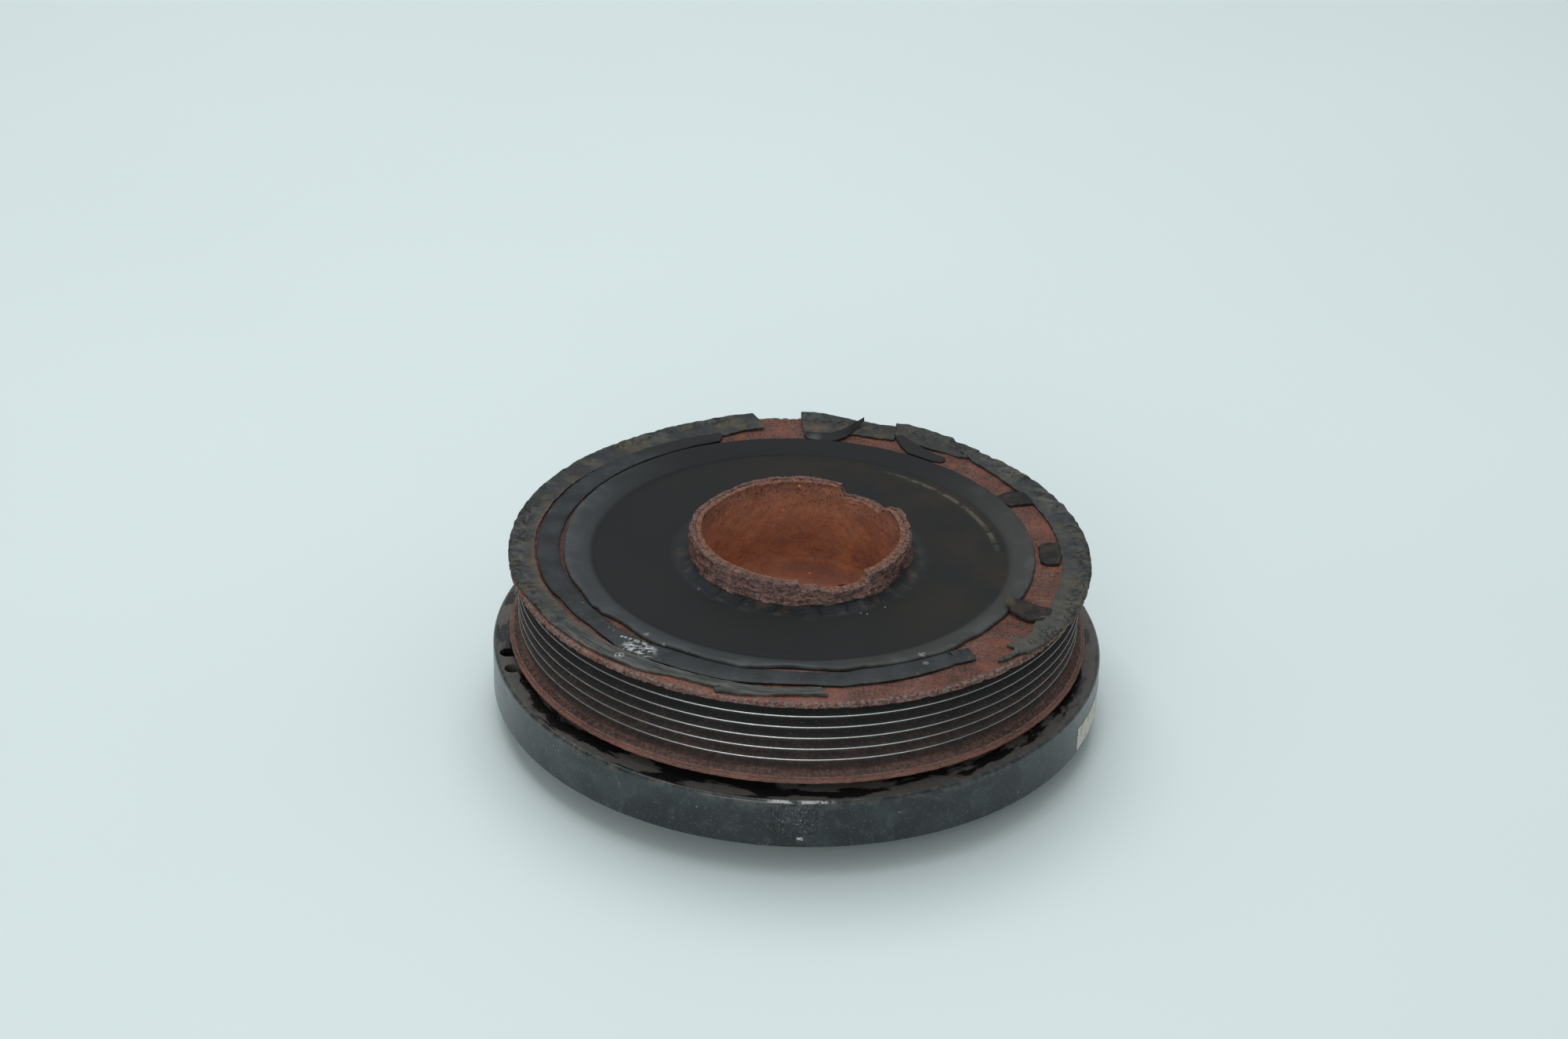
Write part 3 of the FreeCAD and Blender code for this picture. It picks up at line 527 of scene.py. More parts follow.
def collar_scale():
    finish = Finish("collar_scale")
    height = finish.height
    layers = finish.bumps(1, 5, 0.65, place=finish.round_about(0.016, 0.0004, 0.0013))
    relief = rusted(finish, dark=(0.068, 0.038, 0.033), middle=(0.21, 0.11, 0.09),
                    pale=(0.36, 0.215, 0.185), shift=(2, 9, 5))
    finish.over(layers.rise(0.53, 0.67) * 0.55, (0.37, 0.255, 0.23))
    pits = (finish.bumps(1.5, 5, 0.7, (6, 6, 1), stretch=(0.7, 0.7, 1.3)) * 0.5
            + layers * 0.5).rise(0.51, 0.58)
    finish.over(pits * 0.85, (0.03, 0.02, 0.021))
    glow = finish.bumps(2.4, 4, 0.65, (3, 6, 8)).rise(0.55, 0.65)
    finish.over(glow * 0.35, (0.3, 0.1, 0.05))
    glints = finish.bumps(0.6, 2, 0.5, (1, 4, 9)).rise(0.7, 0.75)
    finish.over(glints * 0.7, (0.62, 0.55, 0.53))
    finish.over(finish.deep.rise(-12, -28) * 0.2, (0.3, 0.25, 0.24))
    top = finish.facing_up() * height.rise(53.5, 54.5)
    crust = finish.bumps(0.9, 4, 0.65, (6, 1, 6)).rise(0.32, 0.68)
    finish.over(top * 0.8, finish.mixed(crust, (0.055, 0.032, 0.027), (0.25, 0.14, 0.11)))
    # the part under the rubber is plain
    finish.over(height.rise(51.6, 48.5), (0.07, 0.05, 0.042))
    return finish.ready(0.8 - pits * 0.2, relief * 0.8 + layers * 0.7 - pits * 0.35)


def ring_paint():
    finish = Finish("ring_paint")
    height, radius = finish.height, finish.radius
    # front face: dust with glossy black blotches, crowded towards the pulley's flange, where they
    # are partly painted shade
    blotch = finish.bumps(7, 5, 0.6, (3, 1, 4), place=finish.round_about(0.035, 0.0013, 0))
    wet_and_shade = (blotch * 0.9 + radius.rise(90.2, 86.8) * 0.07).rise(0.455, 0.52)
    dust = finish.mixed(finish.bumps(1.8, 5, 0.65), (0.044, 0.042, 0.038),
                        (0.145, 0.13, 0.115))
    face = finish.mixed(wet_and_shade * 0.95, dust, (0.006, 0.006, 0.007))
    # side: cloudy paint with specks and scuffs
    side = radius.rise(90.2, 91.2)
    coat = finish.bumps(14, 5, 0.6, (2, 2, 2)).rise(0.4, 0.66)
    finish.colour = finish.mixed(coat, (0.009, 0.0125, 0.0145), (0.027, 0.036, 0.04))
    cloudy = finish.bumps(4.5, 5, 0.7, (9, 3, 6)).rise(0.52, 0.68)
    finish.over(cloudy * 0.4, (0.062, 0.074, 0.074))
    specks = finish.bumps(0.7, 4, 0.7, (4, 8, 8)).rise(0.6, 0.67)
    finish.over(specks * 0.55, (0.16, 0.175, 0.175))
    dots = finish.flakes(3.4, (5, 1, 1)).rise(0.085, 0.04)
    few = finish.bumps(9, 1, 0.5, (6, 3, 1)).rise(0.48, 0.56)
    finish.over(dots * few * 0.6, (0.4, 0.42, 0.41))
    scuffs = finish.bumps(3.2, 5, 0.72, (5, 8, 2)).rise(0.6, 0.7)
    finish.over(scuffs * 0.35, (0.1, 0.105, 0.1))
    sill = height.rise(19.5, 22.3) * finish.bumps(4, 5, 0.7, (1, 7, 7)).rise(0.45, 0.62)
    finish.over(sill * 0.6, (0.095, 0.092, 0.08))
    # blistered patch at the front, and a dent under it
    blister = finish.near(1.0, -91.6, 4.5, 3.5) * side
    blister = blister * height.rise(11, 14) * height.rise(22.6, 21)
    bubbles = finish.bumps(1.1, 4, 0.6, (2, 5, 5), stretch=(1, 1, 0.7)).rise(0.53, 0.6)
    finish.over(blister * bubbles * 0.35, (0.13, 0.145, 0.145))
    # painted highlights: pale sparks on the blisters
    sparks = finish.bumps(0.75, 4, 0.7, (7, 5, 2)).rise(0.56, 0.63)
    finish.over(blister * sparks * 0.6, (0.42, 0.45, 0.45))
    dent = finish.near(2.8, -91.7, 0.6, 0.5) * side * abs(height - 10.7).rise(0.7, 0.3)
    finish.over(dent * finish.bumps(0.7, 3, 0.6).rise(0.42, 0.5) * 0.9, (0.6, 0.62, 0.6))
    finish.colour = finish.mixed(side, face, finish.colour)
    # front edge, nicked all round, with a painted highlight at the front
    nicks = finish.bumps(5, 5, 0.7, (1, 1, 7)).rise(0.56, 0.7)
    edge = height.rise(21.6, 22.5) * radius.rise(90.2, 91.0)
    finish.over(edge * nicks * 0.5, (0.2, 0.18, 0.165))
    painted_edge_highlight = height.rise(22.2, 22.6) * radius.rise(90.6, 91.1)
    painted_edge_highlight = painted_edge_highlight * finish.near(2.5, -91, 6, 5) * finish.bumps(2, 3, 0.6).rise(0.4, 0.5)
    finish.over(painted_edge_highlight * 0.8, (0.62, 0.64, 0.64))
    roughness = side * 0.26 + (1 - side) * (0.6 - wet_and_shade * 0.42) + scuffs * 0.2
    relief = (finish.bumps(0.8, 4, 0.6) * 0.05 + finish.bumps(6, 3, 0.5, (6, 2, 9)) * 0.1
              + scuffs * 0.05 + blister * bubbles * 0.9 + blister * sparks * 0.3 - dent * 0.3)
    return finish.ready(roughness, relief, 0.5)


def disc_rubber():
    finish = Finish("disc_rubber")
    across, deep, radius = finish.across, finish.deep, finish.radius
    # the flat disc, browner to the right, with pale specks round the collar
    cloud = finish.bumps(28, 3, 0.5, (1, 5, 2))
    finish.colour = finish.mixed(cloud, (0.0095, 0.0105, 0.0115), (0.0145, 0.0145, 0.0145))
    brown = (across + deep * 0.6).rise(-20, 70) * finish.bumps(22, 3, 0.6, (4, 4, 1)).rise(
        0.35, 0.75)
    finish.over(brown * 0.7, (0.032, 0.025, 0.015))
    specks = finish.bumps(0.9, 3, 0.6, (7, 7, 3)).rise(0.7, 0.75)
    finish.over(specks * radius.rise(44, 36) * 0.6, (0.24, 0.24, 0.23))
    for x, y in ((-29.2, -24.1), (-15, -32.6), (18.2, -34.3), (20.1, -34.6), (25.3, -30.2)):
        finish.over(finish.near(x, y, 0.12, 0.3) * 0.7, (0.3, 0.31, 0.31))
    # worn line along the dish, at the rear right
    worn = radius.rise(58.2, 59.2) * radius.rise(60.6, 59.8)
    worn = worn * across.rise(22, 34) * deep.rise(2, 16)
    worn = worn * finish.bumps(2.6, 4, 0.7, (2, 8, 8)).rise(0.36, 0.56)
    finish.over(worn * 0.6, (0.125, 0.118, 0.09))
    disc = finish.colour
    # the smooth lip, darker at the rear
    lip = radius.rise(61.2, 63)
    rearward = deep.rise(10, 60)
    side = across.rise(-30, 50)
    finish.colour = finish.mixed(
        cloud, finish.mixed(side, (0.024, 0.0295, 0.032), (0.03, 0.0305, 0.029)),
        finish.mixed(side, (0.05, 0.057, 0.06), (0.048, 0.049, 0.046)))
    finish.over(rearward * 0.9, (0.0075, 0.0085, 0.01))
    # painted sheen: the pale patches and the light brink make the lip lighter towards its outer
    # edge, away from the rear; the darkening towards the dish is painted shade
    pale = radius.rise(64, 67.5) * finish.bumps(12, 3, 0.5, (3, 3, 3)).rise(0.42, 0.62)
    finish.over(pale * (1 - rearward) * 0.45, (0.075, 0.085, 0.088))
    finish.over(radius.rise(64.5, 62) * 0.45, (0.012, 0.0135, 0.0145))
    brink = radius.rise(68.6, 70) * finish.bumps(3, 4, 0.6).rise(0.5, 0.65)
    finish.over(brink * (1 - rearward) * 0.35, (0.1, 0.105, 0.105))
    for x, y, reach in ((35.4, -59.8, 0.9), (-42.5, -54.2, 0.7), (-37.8, -59.5, 0.5)):
        speckled = finish.near(x, y, reach, 0.4) * finish.bumps(0.8, 2, 0.5).rise(0.38, 0.5)
        finish.over(speckled * 0.55, (0.28, 0.3, 0.3))
    finish.colour = finish.mixed(lip, disc, finish.colour)
    # the foot of the collar
    foot = radius.rise(39.5, 36.5)
    finish.over(foot * 0.7, (0.012, 0.0165, 0.0185))
    stain = radius.rise(38, 35.5) * finish.bumps(5, 4, 0.6, (9, 1, 1)).rise(0.5, 0.62)
    finish.over(stain * 0.45, (0.07, 0.045, 0.028))
    relief = (finish.bumps(0.5, 3, 0.5) * 0.02 + finish.bumps(5, 3, 0.5) * 0.08
              + finish.bumps(14, 2, 0.5, (5, 2, 2)) * lip * 0.5)
    return finish.ready(0.66 - lip * 0.16 - foot * 0.2 + rearward * lip * 0.15, relief, 0.17)


def strip_rubber():
    finish = Finish("strip_rubber")
    across, deep, radius = finish.across, finish.deep, finish.radius
    cloud = finish.bumps(9, 4, 0.6, (3, 3, 1))
    bands = finish.bumps(1, 3, 0.5, (2, 0, 0), place=finish.round_about(0.008, 0.00003, 0))
    finish.colour = finish.mixed((cloud * 0.6 + bands * 0.4).rise(0.36, 0.64),
                                 (0.0045, 0.007, 0.0085), (0.021, 0.0275, 0.031))
    dust = finish.bumps(1.5, 4, 0.65, (8, 2, 2)).rise(0.56, 0.68)
    finish.over(dust * 0.2, (0.085, 0.09, 0.088))
    frayed = finish.bumps(2.2, 4, 0.65, (4, 9, 2)).rise(0.55, 0.66)
    edges = radius.rise(76.2, 78).most(radius.rise(73, 71.6))
    finish.over(edges * frayed * 0.5, (0.085, 0.055, 0.042))
    # the scraps on the right side are brown with dirt, those at the rear nearly black
    scraps = across.rise(56, 60)
    brown = finish.bumps(4, 4, 0.6, (2, 6, 3)).rise(0.4, 0.6)
    finish.over(scraps * 0.95, finish.mixed(brown, (0.006, 0.0065, 0.0065),
                                            (0.03, 0.021, 0.016)))
    tip = finish.near(60.2, -30.4, 1.2, 2.2)
    finish.over(tip * 0.7, (0.085, 0.07, 0.042))
    rear = deep.rise(52, 60)
    finish.over(rear * 0.9, finish.mixed(cloud, (0.0045, 0.0055, 0.0065),
                                         (0.015, 0.0165, 0.0175)))
    glint = finish.near(3.2, 71.6, 0.4, 2.8)
    finish.over(glint * 0.45, (0.11, 0.125, 0.135))
    # pale scuff and marks at the front left, a few more round the strip
    zone = finish.near(-44.5, -62.5, 2.6, 4.2)
    scuff = finish.bumps(0.8, 4, 0.7, (1, 6, 6), stretch=(0.45, 1, 1)).rise(0.51, 0.57)
    finish.over(zone * scuff * 0.85, (0.5, 0.53, 0.53))
    for x, y in ((-49.5, -56.0), (-48.4, -56.4), (-47.0, -57.1), (-45.6, -57.9), (-44.7, -58.3)):
        finish.over(finish.near(x, y, 0.3, 0.35) * 0.75, (0.42, 0.44, 0.44))
    for x, y, reach in ((36.4, -64.5, 0.7), (-52, -52.8, 0.15), (-53.5, -51.5, 0.1),
                        (-62, -38, 0.12)):
        finish.over(finish.near(x, y, reach, 0.35) * 0.5, (0.22, 0.225, 0.22))
    return finish.ready(0.42 + cloud * 0.2 + scraps.most(rear) * 0.2,
                        finish.bumps(0.6, 3, 0.5) * 0.025 + cloud * 0.3, 0.27)


def film_rubber():
    finish = Finish("film_rubber")
    across, deep, radius = finish.across, finish.deep, finish.radius
    folds = finish.bumps(1, 3, 0.6, (1, 0, 0),
                         place=finish.round_about(0.034, 0.0002, 0, 0.09, 0.004))
    lines = finish.bumps(1, 3, 0.6, (7, 0, 3),
                         place=finish.round_about(0.03, 0.00022, 0, 0.12, 0.005))
    creases = abs(lines - 0.5).rise(0.05, 0.01) * finish.bumps(5, 3, 0.6).rise(0.42, 0.54)
    outer = radius.rise(80.5, 83.5)
    patches = finish.bumps(5, 5, 0.68, (6, 1, 8))
    # tone from the patches, and from the folds: lighter on their ridges and darker in their
    # hollows, which is painted light
    finish.colour = finish.colours(
        patches * 0.55 + (folds - 0.5) * (outer * 0.45 + 0.12) + 0.25, [
            (0.42, (0.01, 0.0125, 0.015)), (0.5, (0.028, 0.032, 0.032)),
            (0.58, (0.052, 0.054, 0.048)), (0.68, (0.1, 0.1, 0.088))])
    # dark calm stretches at the rear left, bluish on the right, moss-brown in places
    calm = finish.bumps(16, 2, 0.5, (3, 7, 1)).rise(0.47, 0.57)
    calm = calm * deep.rise(0, 50) * across.rise(10, -20)
    finish.over(calm * 0.75, (0.013, 0.0175, 0.0205))
    bluish = across.rise(40, 65) * finish.bumps(7, 4, 0.6, (3, 1, 3)).rise(0.4, 0.62)
    finish.over(bluish * 0.45, (0.02, 0.028, 0.031))
    moss = finish.bumps(8, 4, 0.65, (2, 4, 9)).rise(0.5, 0.62)
    finish.over(moss * 0.6, finish.mixed(finish.bumps(3, 2, 0.5), (0.05, 0.046, 0.03),
                                         (0.1, 0.086, 0.036)))
    # smooth smeared rubber in front
    smear = finish.bumps(1, 4, 0.62, place=finish.round_about(0.007, 0.0009, 0, 0.05))
    front = deep.rise(-38, -60) * across.rise(30, 15)
    finish.over(front * 0.75, finish.colours(smear, [
        (0.36, (0.012, 0.016, 0.017)), (0.47, (0.045, 0.052, 0.05)),
        (0.56, (0.085, 0.09, 0.075)), (0.64, (0.115, 0.125, 0.12))]))
    near_right = deep.rise(-8, -34) * across.rise(50, 58)
    finish.over(near_right * 0.6, finish.mixed(patches, (0.034, 0.038, 0.034),
                                               (0.1, 0.096, 0.076)))
    # painted shade: the creases darkened nearly black
    finish.over(creases * outer * (1 - calm) * (1 - front) * 0.8, (0.006, 0.007, 0.008))
    # rust bleeds over the inner edge on the left
    bleed = radius.rise(81.2, 78.8) * across.rise(-40, -62)
    bleed = bleed * deep.rise(38, 10) * finish.bumps(3, 4, 0.6).rise(0.34, 0.54)
    finish.over(bleed * 0.8, finish.mixed(patches, (0.07, 0.038, 0.03), (0.17, 0.075, 0.045)))
    rust = finish.bumps(3.4, 4, 0.65, (9, 9, 3)).rise(0.62, 0.7)
    finish.over(rust * 0.4, (0.13, 0.06, 0.04))
    # brown stains on the stretch at the rear
    rear = deep.rise(58, 72) * across.rise(-4, 6)
    brown = finish.bumps(5, 4, 0.6, (5, 5, 5)).rise(0.42, 0.66) * across.rise(38, 20)
    fold = radius.rise(83.2, 84.2)
    finish.over(rear * (1 - fold) * 0.85,
                finish.mixed(brown, (0.021, 0.0225, 0.022), (0.09, 0.064, 0.04)))
    finish.over(rear * fold * 0.7, (0.03, 0.036, 0.035))
    # a scratched star on the left, near the front
    star = finish.near(-49.5, -65.9, 1.2, 0.5) * finish.bumps(0.6, 3, 0.6).rise(0.52, 0.56)
    finish.over(star * 0.8, (0.45, 0.48, 0.48))
    strength = ((0.35 + outer * 0.65) * (1 - calm * 0.6) * (1 - front * 0.75)
                * (1 - near_right * 0.4))
    relief = (folds * strength * 0.9 - creases * strength * 0.25
              + finish.bumps(0.8, 4, 0.6) * 0.1 + patches * 0.25 + smear * front * 0.35)
    return finish.ready(0.56, relief, 0.28)


def plain_finish(name, first, second, roughness, size, depth):
    """Dull surface in two close tones."""
    finish = Finish(name)
    finish.colour = finish.mixed(finish.bumps(size, 4, 0.6), first, second)
    return finish.ready(roughness, finish.bumps(size / 9, 4, 0.6) * depth)


def label_paper():
    finish = Finish("label_paper")
    stain = finish.bumps(2.2, 5, 0.65)
    finish.colour = finish.mixed(stain.rise(0.48, 0.7), (0.6, 0.59, 0.51), (0.3, 0.28, 0.22))
    return finish.ready(0.6, stain * 0.06)


# The pieces. Profiles are (radius, height) corners in mm, seen runs first, hidden runs after.

GROOVE = [(83.78, -1.46), (81.33, -0.56), (81.1, -0.27), (81.1, 0.27), (81.33, 0.56), (83.78, 1.46)]
CREST = [(83.95, 1.58), (84.02, 1.68), (84.02, 1.88), (83.95, 1.98)]


def make_belt_pulley(finish):
    track = []
    for number in reversed(range(GROOVE_COUNT)):
        middle = FRONT_GROOVE - GROOVE_PITCH * number
        track += [(radius, middle + off) for radius, off in GROOVE + (CREST if number else [])]
    profile = filled_in([
        (80.6, 25.7), (86.5, 25.7), (86.72, 25.8), (86.8, 26.0), (86.8, 26.3), (86.6, 26.6),
        (84.15, 28.47), *track, (84.1, 49.47), (86.6, 50.38), (86.78, 50.5), (86.8, 50.7),
        (86.8, 51.2), (86.8, 51.7), (86.7, 51.93), (86.45, 52), (69, 52)], 0.8, [
        (69, 44), (75, 44), (75, 27.5), (80.6, 27.5)])
    piece = turned("belt_pulley", profile, steps=640)

    def rust_depth(azimuth, radius, height):
        belt = (soft_step(84.6, 84.1, radius) * soft_step(49.8, 49.4, height)
                * soft_step(80, 80.6, radius))
        rough = (0.5 * grain(azimuth, radius, height, 2.6, 1)
                 + 0.35 * grain(azimuth, radius, height, 0.9, 2))
        eaten = soft_step(85.8, 86.5, radius) * soft_step(50, 50.3, height)
        bites = 0.5 * soft_step(0.05, 0.5, grain(azimuth, radius, height, 2.2, 41))
        bites += 0.3 * soft_step(0.0, 0.5, grain(azimuth, radius, height, 1.1, 42))
        return (0.24 - 0.21 * belt) * rough - 0.03 - eaten * bites

    pitted(piece, rust_depth)
    finished(piece, finish, "pulley_rim")


# Height of the broken rim of the collar and the cup, by azimuth.
RIM_HEIGHT = [
    (0, 59.4), (14, 59.3), (23, 59.6), (27, 59.3), (31.7, 58.5), (35.7, 57.4), (36.3, 55.8),
    (39, 55.6), (44.7, 56.1), (51.7, 56.3), (60.2, 56.1), (65.2, 55.8), (66.6, 56.4),
    (67.3, 57.6), (68, 58.8), (74, 59.3), (92, 59.4), (118, 59.5), (136, 58.9), (146, 58.7),
    (156, 58.9), (170, 59.5), (205, 59.4), (240, 59.3), (252.3, 59.1), (263.3, 58.8),
    (269.5, 59.1), (270.4, 58.6), (270.9, 57.6), (278.5, 57.4), (285, 56.4), (291, 55.9),
    (298.4, 55.6), (302.5, 55.7), (306.8, 56.3), (307.7, 57.8), (308.3, 59.2), (330, 59.4),
    (360, 59.4),
]


def make_collar(finish):
    profile = filled_in([
        (31.32, 58.2), (31.32, 59.5), (31.42, 59.6), (32.75, 59.6), (33, 59.4), (33, 50.9)], 0.3, [
        (33.7, 50.2), (35.5, 49.5), (58.5, 49.5), (60.4, 48.9), (61.6, 47.6), (62, 46), (62, 42),
        (59.5, 42), (59.5, 46), (58.5, 47), (35.5, 47), (33, 48), (31.9, 49.3), (31.32, 50.6)])
    piece = turned("drive_collar", profile, steps=640)

    def broken(azimuth, radius, height):
        if height < COLLAR_FOOT:
            return azimuth, radius, height
        share = (height - COLLAR_FOOT) / 8.8
        top = along(RIM_HEIGHT, azimuth) - 0.12
        top += 0.16 * grain(azimuth, radius, 0, 2.2, 3) + 0.16 * grain(azimuth, radius, 0, 0.8, 4)
        height = min(59.6, COLLAR_FOOT + share * (top - COLLAR_FOOT))
        belly = 0.5 * (1 - share) ** 1.2 - 0.3
        plates = 0.34 * soft_step(-0.05, 0.05, grain(azimuth, 13, height * 2.3, 4.2, 5))
        chips = 0.2 * soft_step(-0.05, 0.05, grain(azimuth, 16, height * 3, 2.4, 6))
        pits = 0.34 * soft_step(0.2, 0.36, grain(azimuth, 20, height * 1.7, 1.7, 7))
        crumbs = 0.08 * grain(azimuth, 33, height, 0.6, 8)
        radius += (soft_step(31.8, 32.9, radius) * (belly + plates + chips - pits + crumbs)
                   * soft_step(0, 0.05, share))
        return azimuth, radius, height

    reshaped(piece, broken)
    finished(piece, finish, "drive_ring", 60)


def make_hub(finish):
    profile = filled_in([
        (31.3, 59.2), (31.2, 59.35), (29.75, 59.35), (29.6, 59.2), (29.6, 35), (29.2, 33),
        (28, 31.3), (26, 30.35), (23.5, 30), (13.5, 30), (13, 29.5), (13, 27)], 0.5, [
        (13, 22), (27, 22), (27, 0.6), (27.6, 0), (33.4, 0), (34, 0.6), (34, 8.4), (34.6, 9.5),
        (36, 10), (50, 10), (51.4, 9.4), (52, 8), (52, 7.6), (55.4, 7.6), (56, 8.2), (56, 22.4),
        (55.4, 23), (52, 23), (52, 20), (51.4, 18.6), (50, 18), (33.3, 18), (31.9, 18.6),
        (31.3, 20), (31.3, 50)])
    piece = turned("hub_cup", profile, steps=420)
    put_down()
    for azimuth in (45, 135, 225, 315):
        bpy.ops.mesh.primitive_cylinder_add(vertices=64, radius=4.25 * MM, depth=20 * MM,
                                            location=round_place(azimuth, 20, 26))
        drill = bpy.context.object
        applied(piece, "BOOLEAN", operation="DIFFERENCE", solver="EXACT", object=drill)
        bpy.data.objects.remove(drill)

    def broken(azimuth, radius, height):
        if height > 50:
            top = along(RIM_HEIGHT, azimuth) - 0.3
            top += 0.18 * grain(azimuth, radius, 0, 2, 8) + 0.16 * grain(azimuth, radius, 0, 0.8, 9)
            height = min(59.5, 50 + (height - 50) * (top - 50) / 9.35)
        return azimuth, radius, height

    def rust_depth(azimuth, radius, height):
        inside = soft_step(30.8, 29.9, radius) * soft_step(29.4, 29.9, height)
        return inside * (0.28 * grain(azimuth, radius, height, 3.4, 12)
                         + 0.16 * grain(azimuth, radius, height, 1.2, 13))

    reshaped(piece, broken)
    pitted(piece, rust_depth)
    finished(piece, finish, "hub")


# Radius of the lip's torn edge, by azimuth.
LIP_EDGE = [
    (0, 70.1), (30, 70.2), (52, 70.1), (90, 70.2), (108, 70.5), (125, 70.9), (165, 70.9),
    (180, 70.3), (195, 70.6), (205.8, 70.0), (209.5, 70.3), (213.2, 70.9), (214.8, 70.3),
    (216.9, 70.6), (220, 69.5), (223.6, 69.0), (227.1, 69.2), (231.6, 70.3), (235.4, 70.8),
    (238.4, 70.1), (242.2, 69.8), (245.4, 70.0), (248.7, 70.6), (254.6, 70.6), (257, 71.4),
    (260.2, 70.3), (263.6, 69.4), (266.4, 68.6), (269.6, 68.2), (272.7, 69.1), (276.5, 69.7),
    (279.6, 70.4), (282.2, 70.3), (286.1, 69.8), (290.3, 70.4), (293.4, 70.9), (299.8, 70.7),
    (305.6, 71.2), (311, 70.7), (314.1, 69.9), (318.5, 70.3), (322.3, 69.7), (331, 69.7),
    (345, 70.0), (360, 70.1),
]
# Rubber spilt round the collar's foot: azimuth, half width in degrees, radius it reaches.
FLASH_TABS = [
    (14, 3, 36.9), (52, 5, 36.6), (96, 4, 36.8), (128, 3, 36.6), (150, 4, 37.2), (176, 6, 37.6),
    (199, 3, 36.8), (216, 4, 38.4), (231, 2.5, 37.4), (246, 3.5, 38.6), (261, 2, 37.2),
    (276, 4, 39.4), (291, 2.5, 37.6), (305, 3, 37.2), (326, 5, 38.6), (344, 3, 37.2),
]


def make_coupling_rubber(finish):
    profile = filled_in([
        (69, 52), (70.6, 52), (71, 52.25), (71, 52.8), (70.8, 53.05), (70.4, 53.2), (69.2, 53.2),
        (68, 52.95), (65, 52.15), (63, 51.45), (61.8, 51.0), (60.8, 50.8), (38.2, 50.8),
        (36, 51.0), (34.4, 51.4), (33.4, 52.0), (33, 52.3)], 0.7, [
        (33, 52), (33.7, 50.2), (35.5, 49.5), (58.5, 49.5), (60.4, 48.9), (61.6, 47.6), (62, 46),
        (62, 43), (69, 45)])
    piece = turned("coupling_disc", profile, steps=600)

    def torn(azimuth, radius, height):
        if radius > 66 and height > 51.9:
            edge = along(LIP_EDGE, azimuth) + 0.3 * ragged(azimuth, 70, 14)
            radius = 66 + (radius - 66) * (edge - 66) / 5
        if height > 50 and radius < 60.9:
            swell = 0.0
            for centre, half, reach in FLASH_TABS:
                off = abs((azimuth - centre + 180) % 360 - 180)
                off += 1.2 * grain(azimuth, radius, 0, 2.5, 15)
                swell = max(swell, soft_step(half + 1, half - 1, off)
                            * soft_step(reach + 0.4, reach - 0.5, radius))
            height += 0.3 * swell * soft_step(33, 34.5, radius)
            height += 0.12 * grain(azimuth, radius, 0, 9, 16) * soft_step(33, 36, radius)
            height += 0.1 * soft_step(57.6, 58.2, radius) * soft_step(60.4, 59.8, radius)
        return azimuth, radius, height

    reshaped(piece, torn)
    finished(piece, finish, "decoupling_rubber", 55)


def make_strip(finish):
    outer = [(110.5, 78.0), (130, 78.2), (160, 78.3), (185, 78.3), (200, 78.2), (203.5, 77.9),
             (207, 77.2), (214, 77.2), (217, 77.4), (220, 77), (224.5, 77.8), (228, 78.4),
             (231, 79.1), (236.6, 78.6), (242.3, 78.4), (254.4, 78.8), (259, 78.7), (263, 78.2),
             (267, 77.7), (273, 77.5), (279.7, 78.7), (284, 78.3), (288.4, 78.5), (296.6, 78.3),
             (303, 78.0), (305.2, 77.7), (307.3, 78.4), (309.7, 79.0)]
    inner = [(111.5, 72.2), (130, 71.8), (150, 71.6), (170, 71.8), (185, 71.9), (196, 71.4),
             (205.9, 70.9), (210, 71.2), (217.3, 71.3), (219.8, 71.4), (223, 72.0), (226, 72.2),
             (229, 72.2), (232, 72.1), (234.6, 72.0), (238, 71.5), (240.1, 70.8), (244.5, 71.0),
             (248.2, 71.1), (257.6, 71.7), (260.6, 71.35), (265.2, 70.95), (269.9, 71.0),
             (273.9, 71.3), (277.6, 71.4), (280.9, 72.2), (283.3, 71.1), (287.2, 70.9),
             (294, 71.1), (300, 71.5), (304.7, 71.9), (307.5, 72.9), (309.4, 73.1)]
    end = torn_line([(309.4, 73.1), (311.4, 73.3), (310.7, 74.6), (311, 75.6), (310.1, 76.6),
                     (310.6, 77.7), (309.7, 79.0)], 43, 0.2, 0.25)

    def crown(azimuth, radius, share):
        bulge = 1 - abs(2 * share - 1) ** 3
        return 0.72 + 0.42 * bulge + 0.1 * grain(azimuth, radius, 0, 7, 17)

    piece = torn_sheet("front_strip", torn_line(inner, 18, strength=0.22),
                       torn_line(outer, 19, strength=0.22),
                       on_web([(111.5, 72.2), (110.2, 75), (110.5, 78)]), end, crown, 0.6, 0.75)
    finished(piece, finish, "rubber_strip", 50)


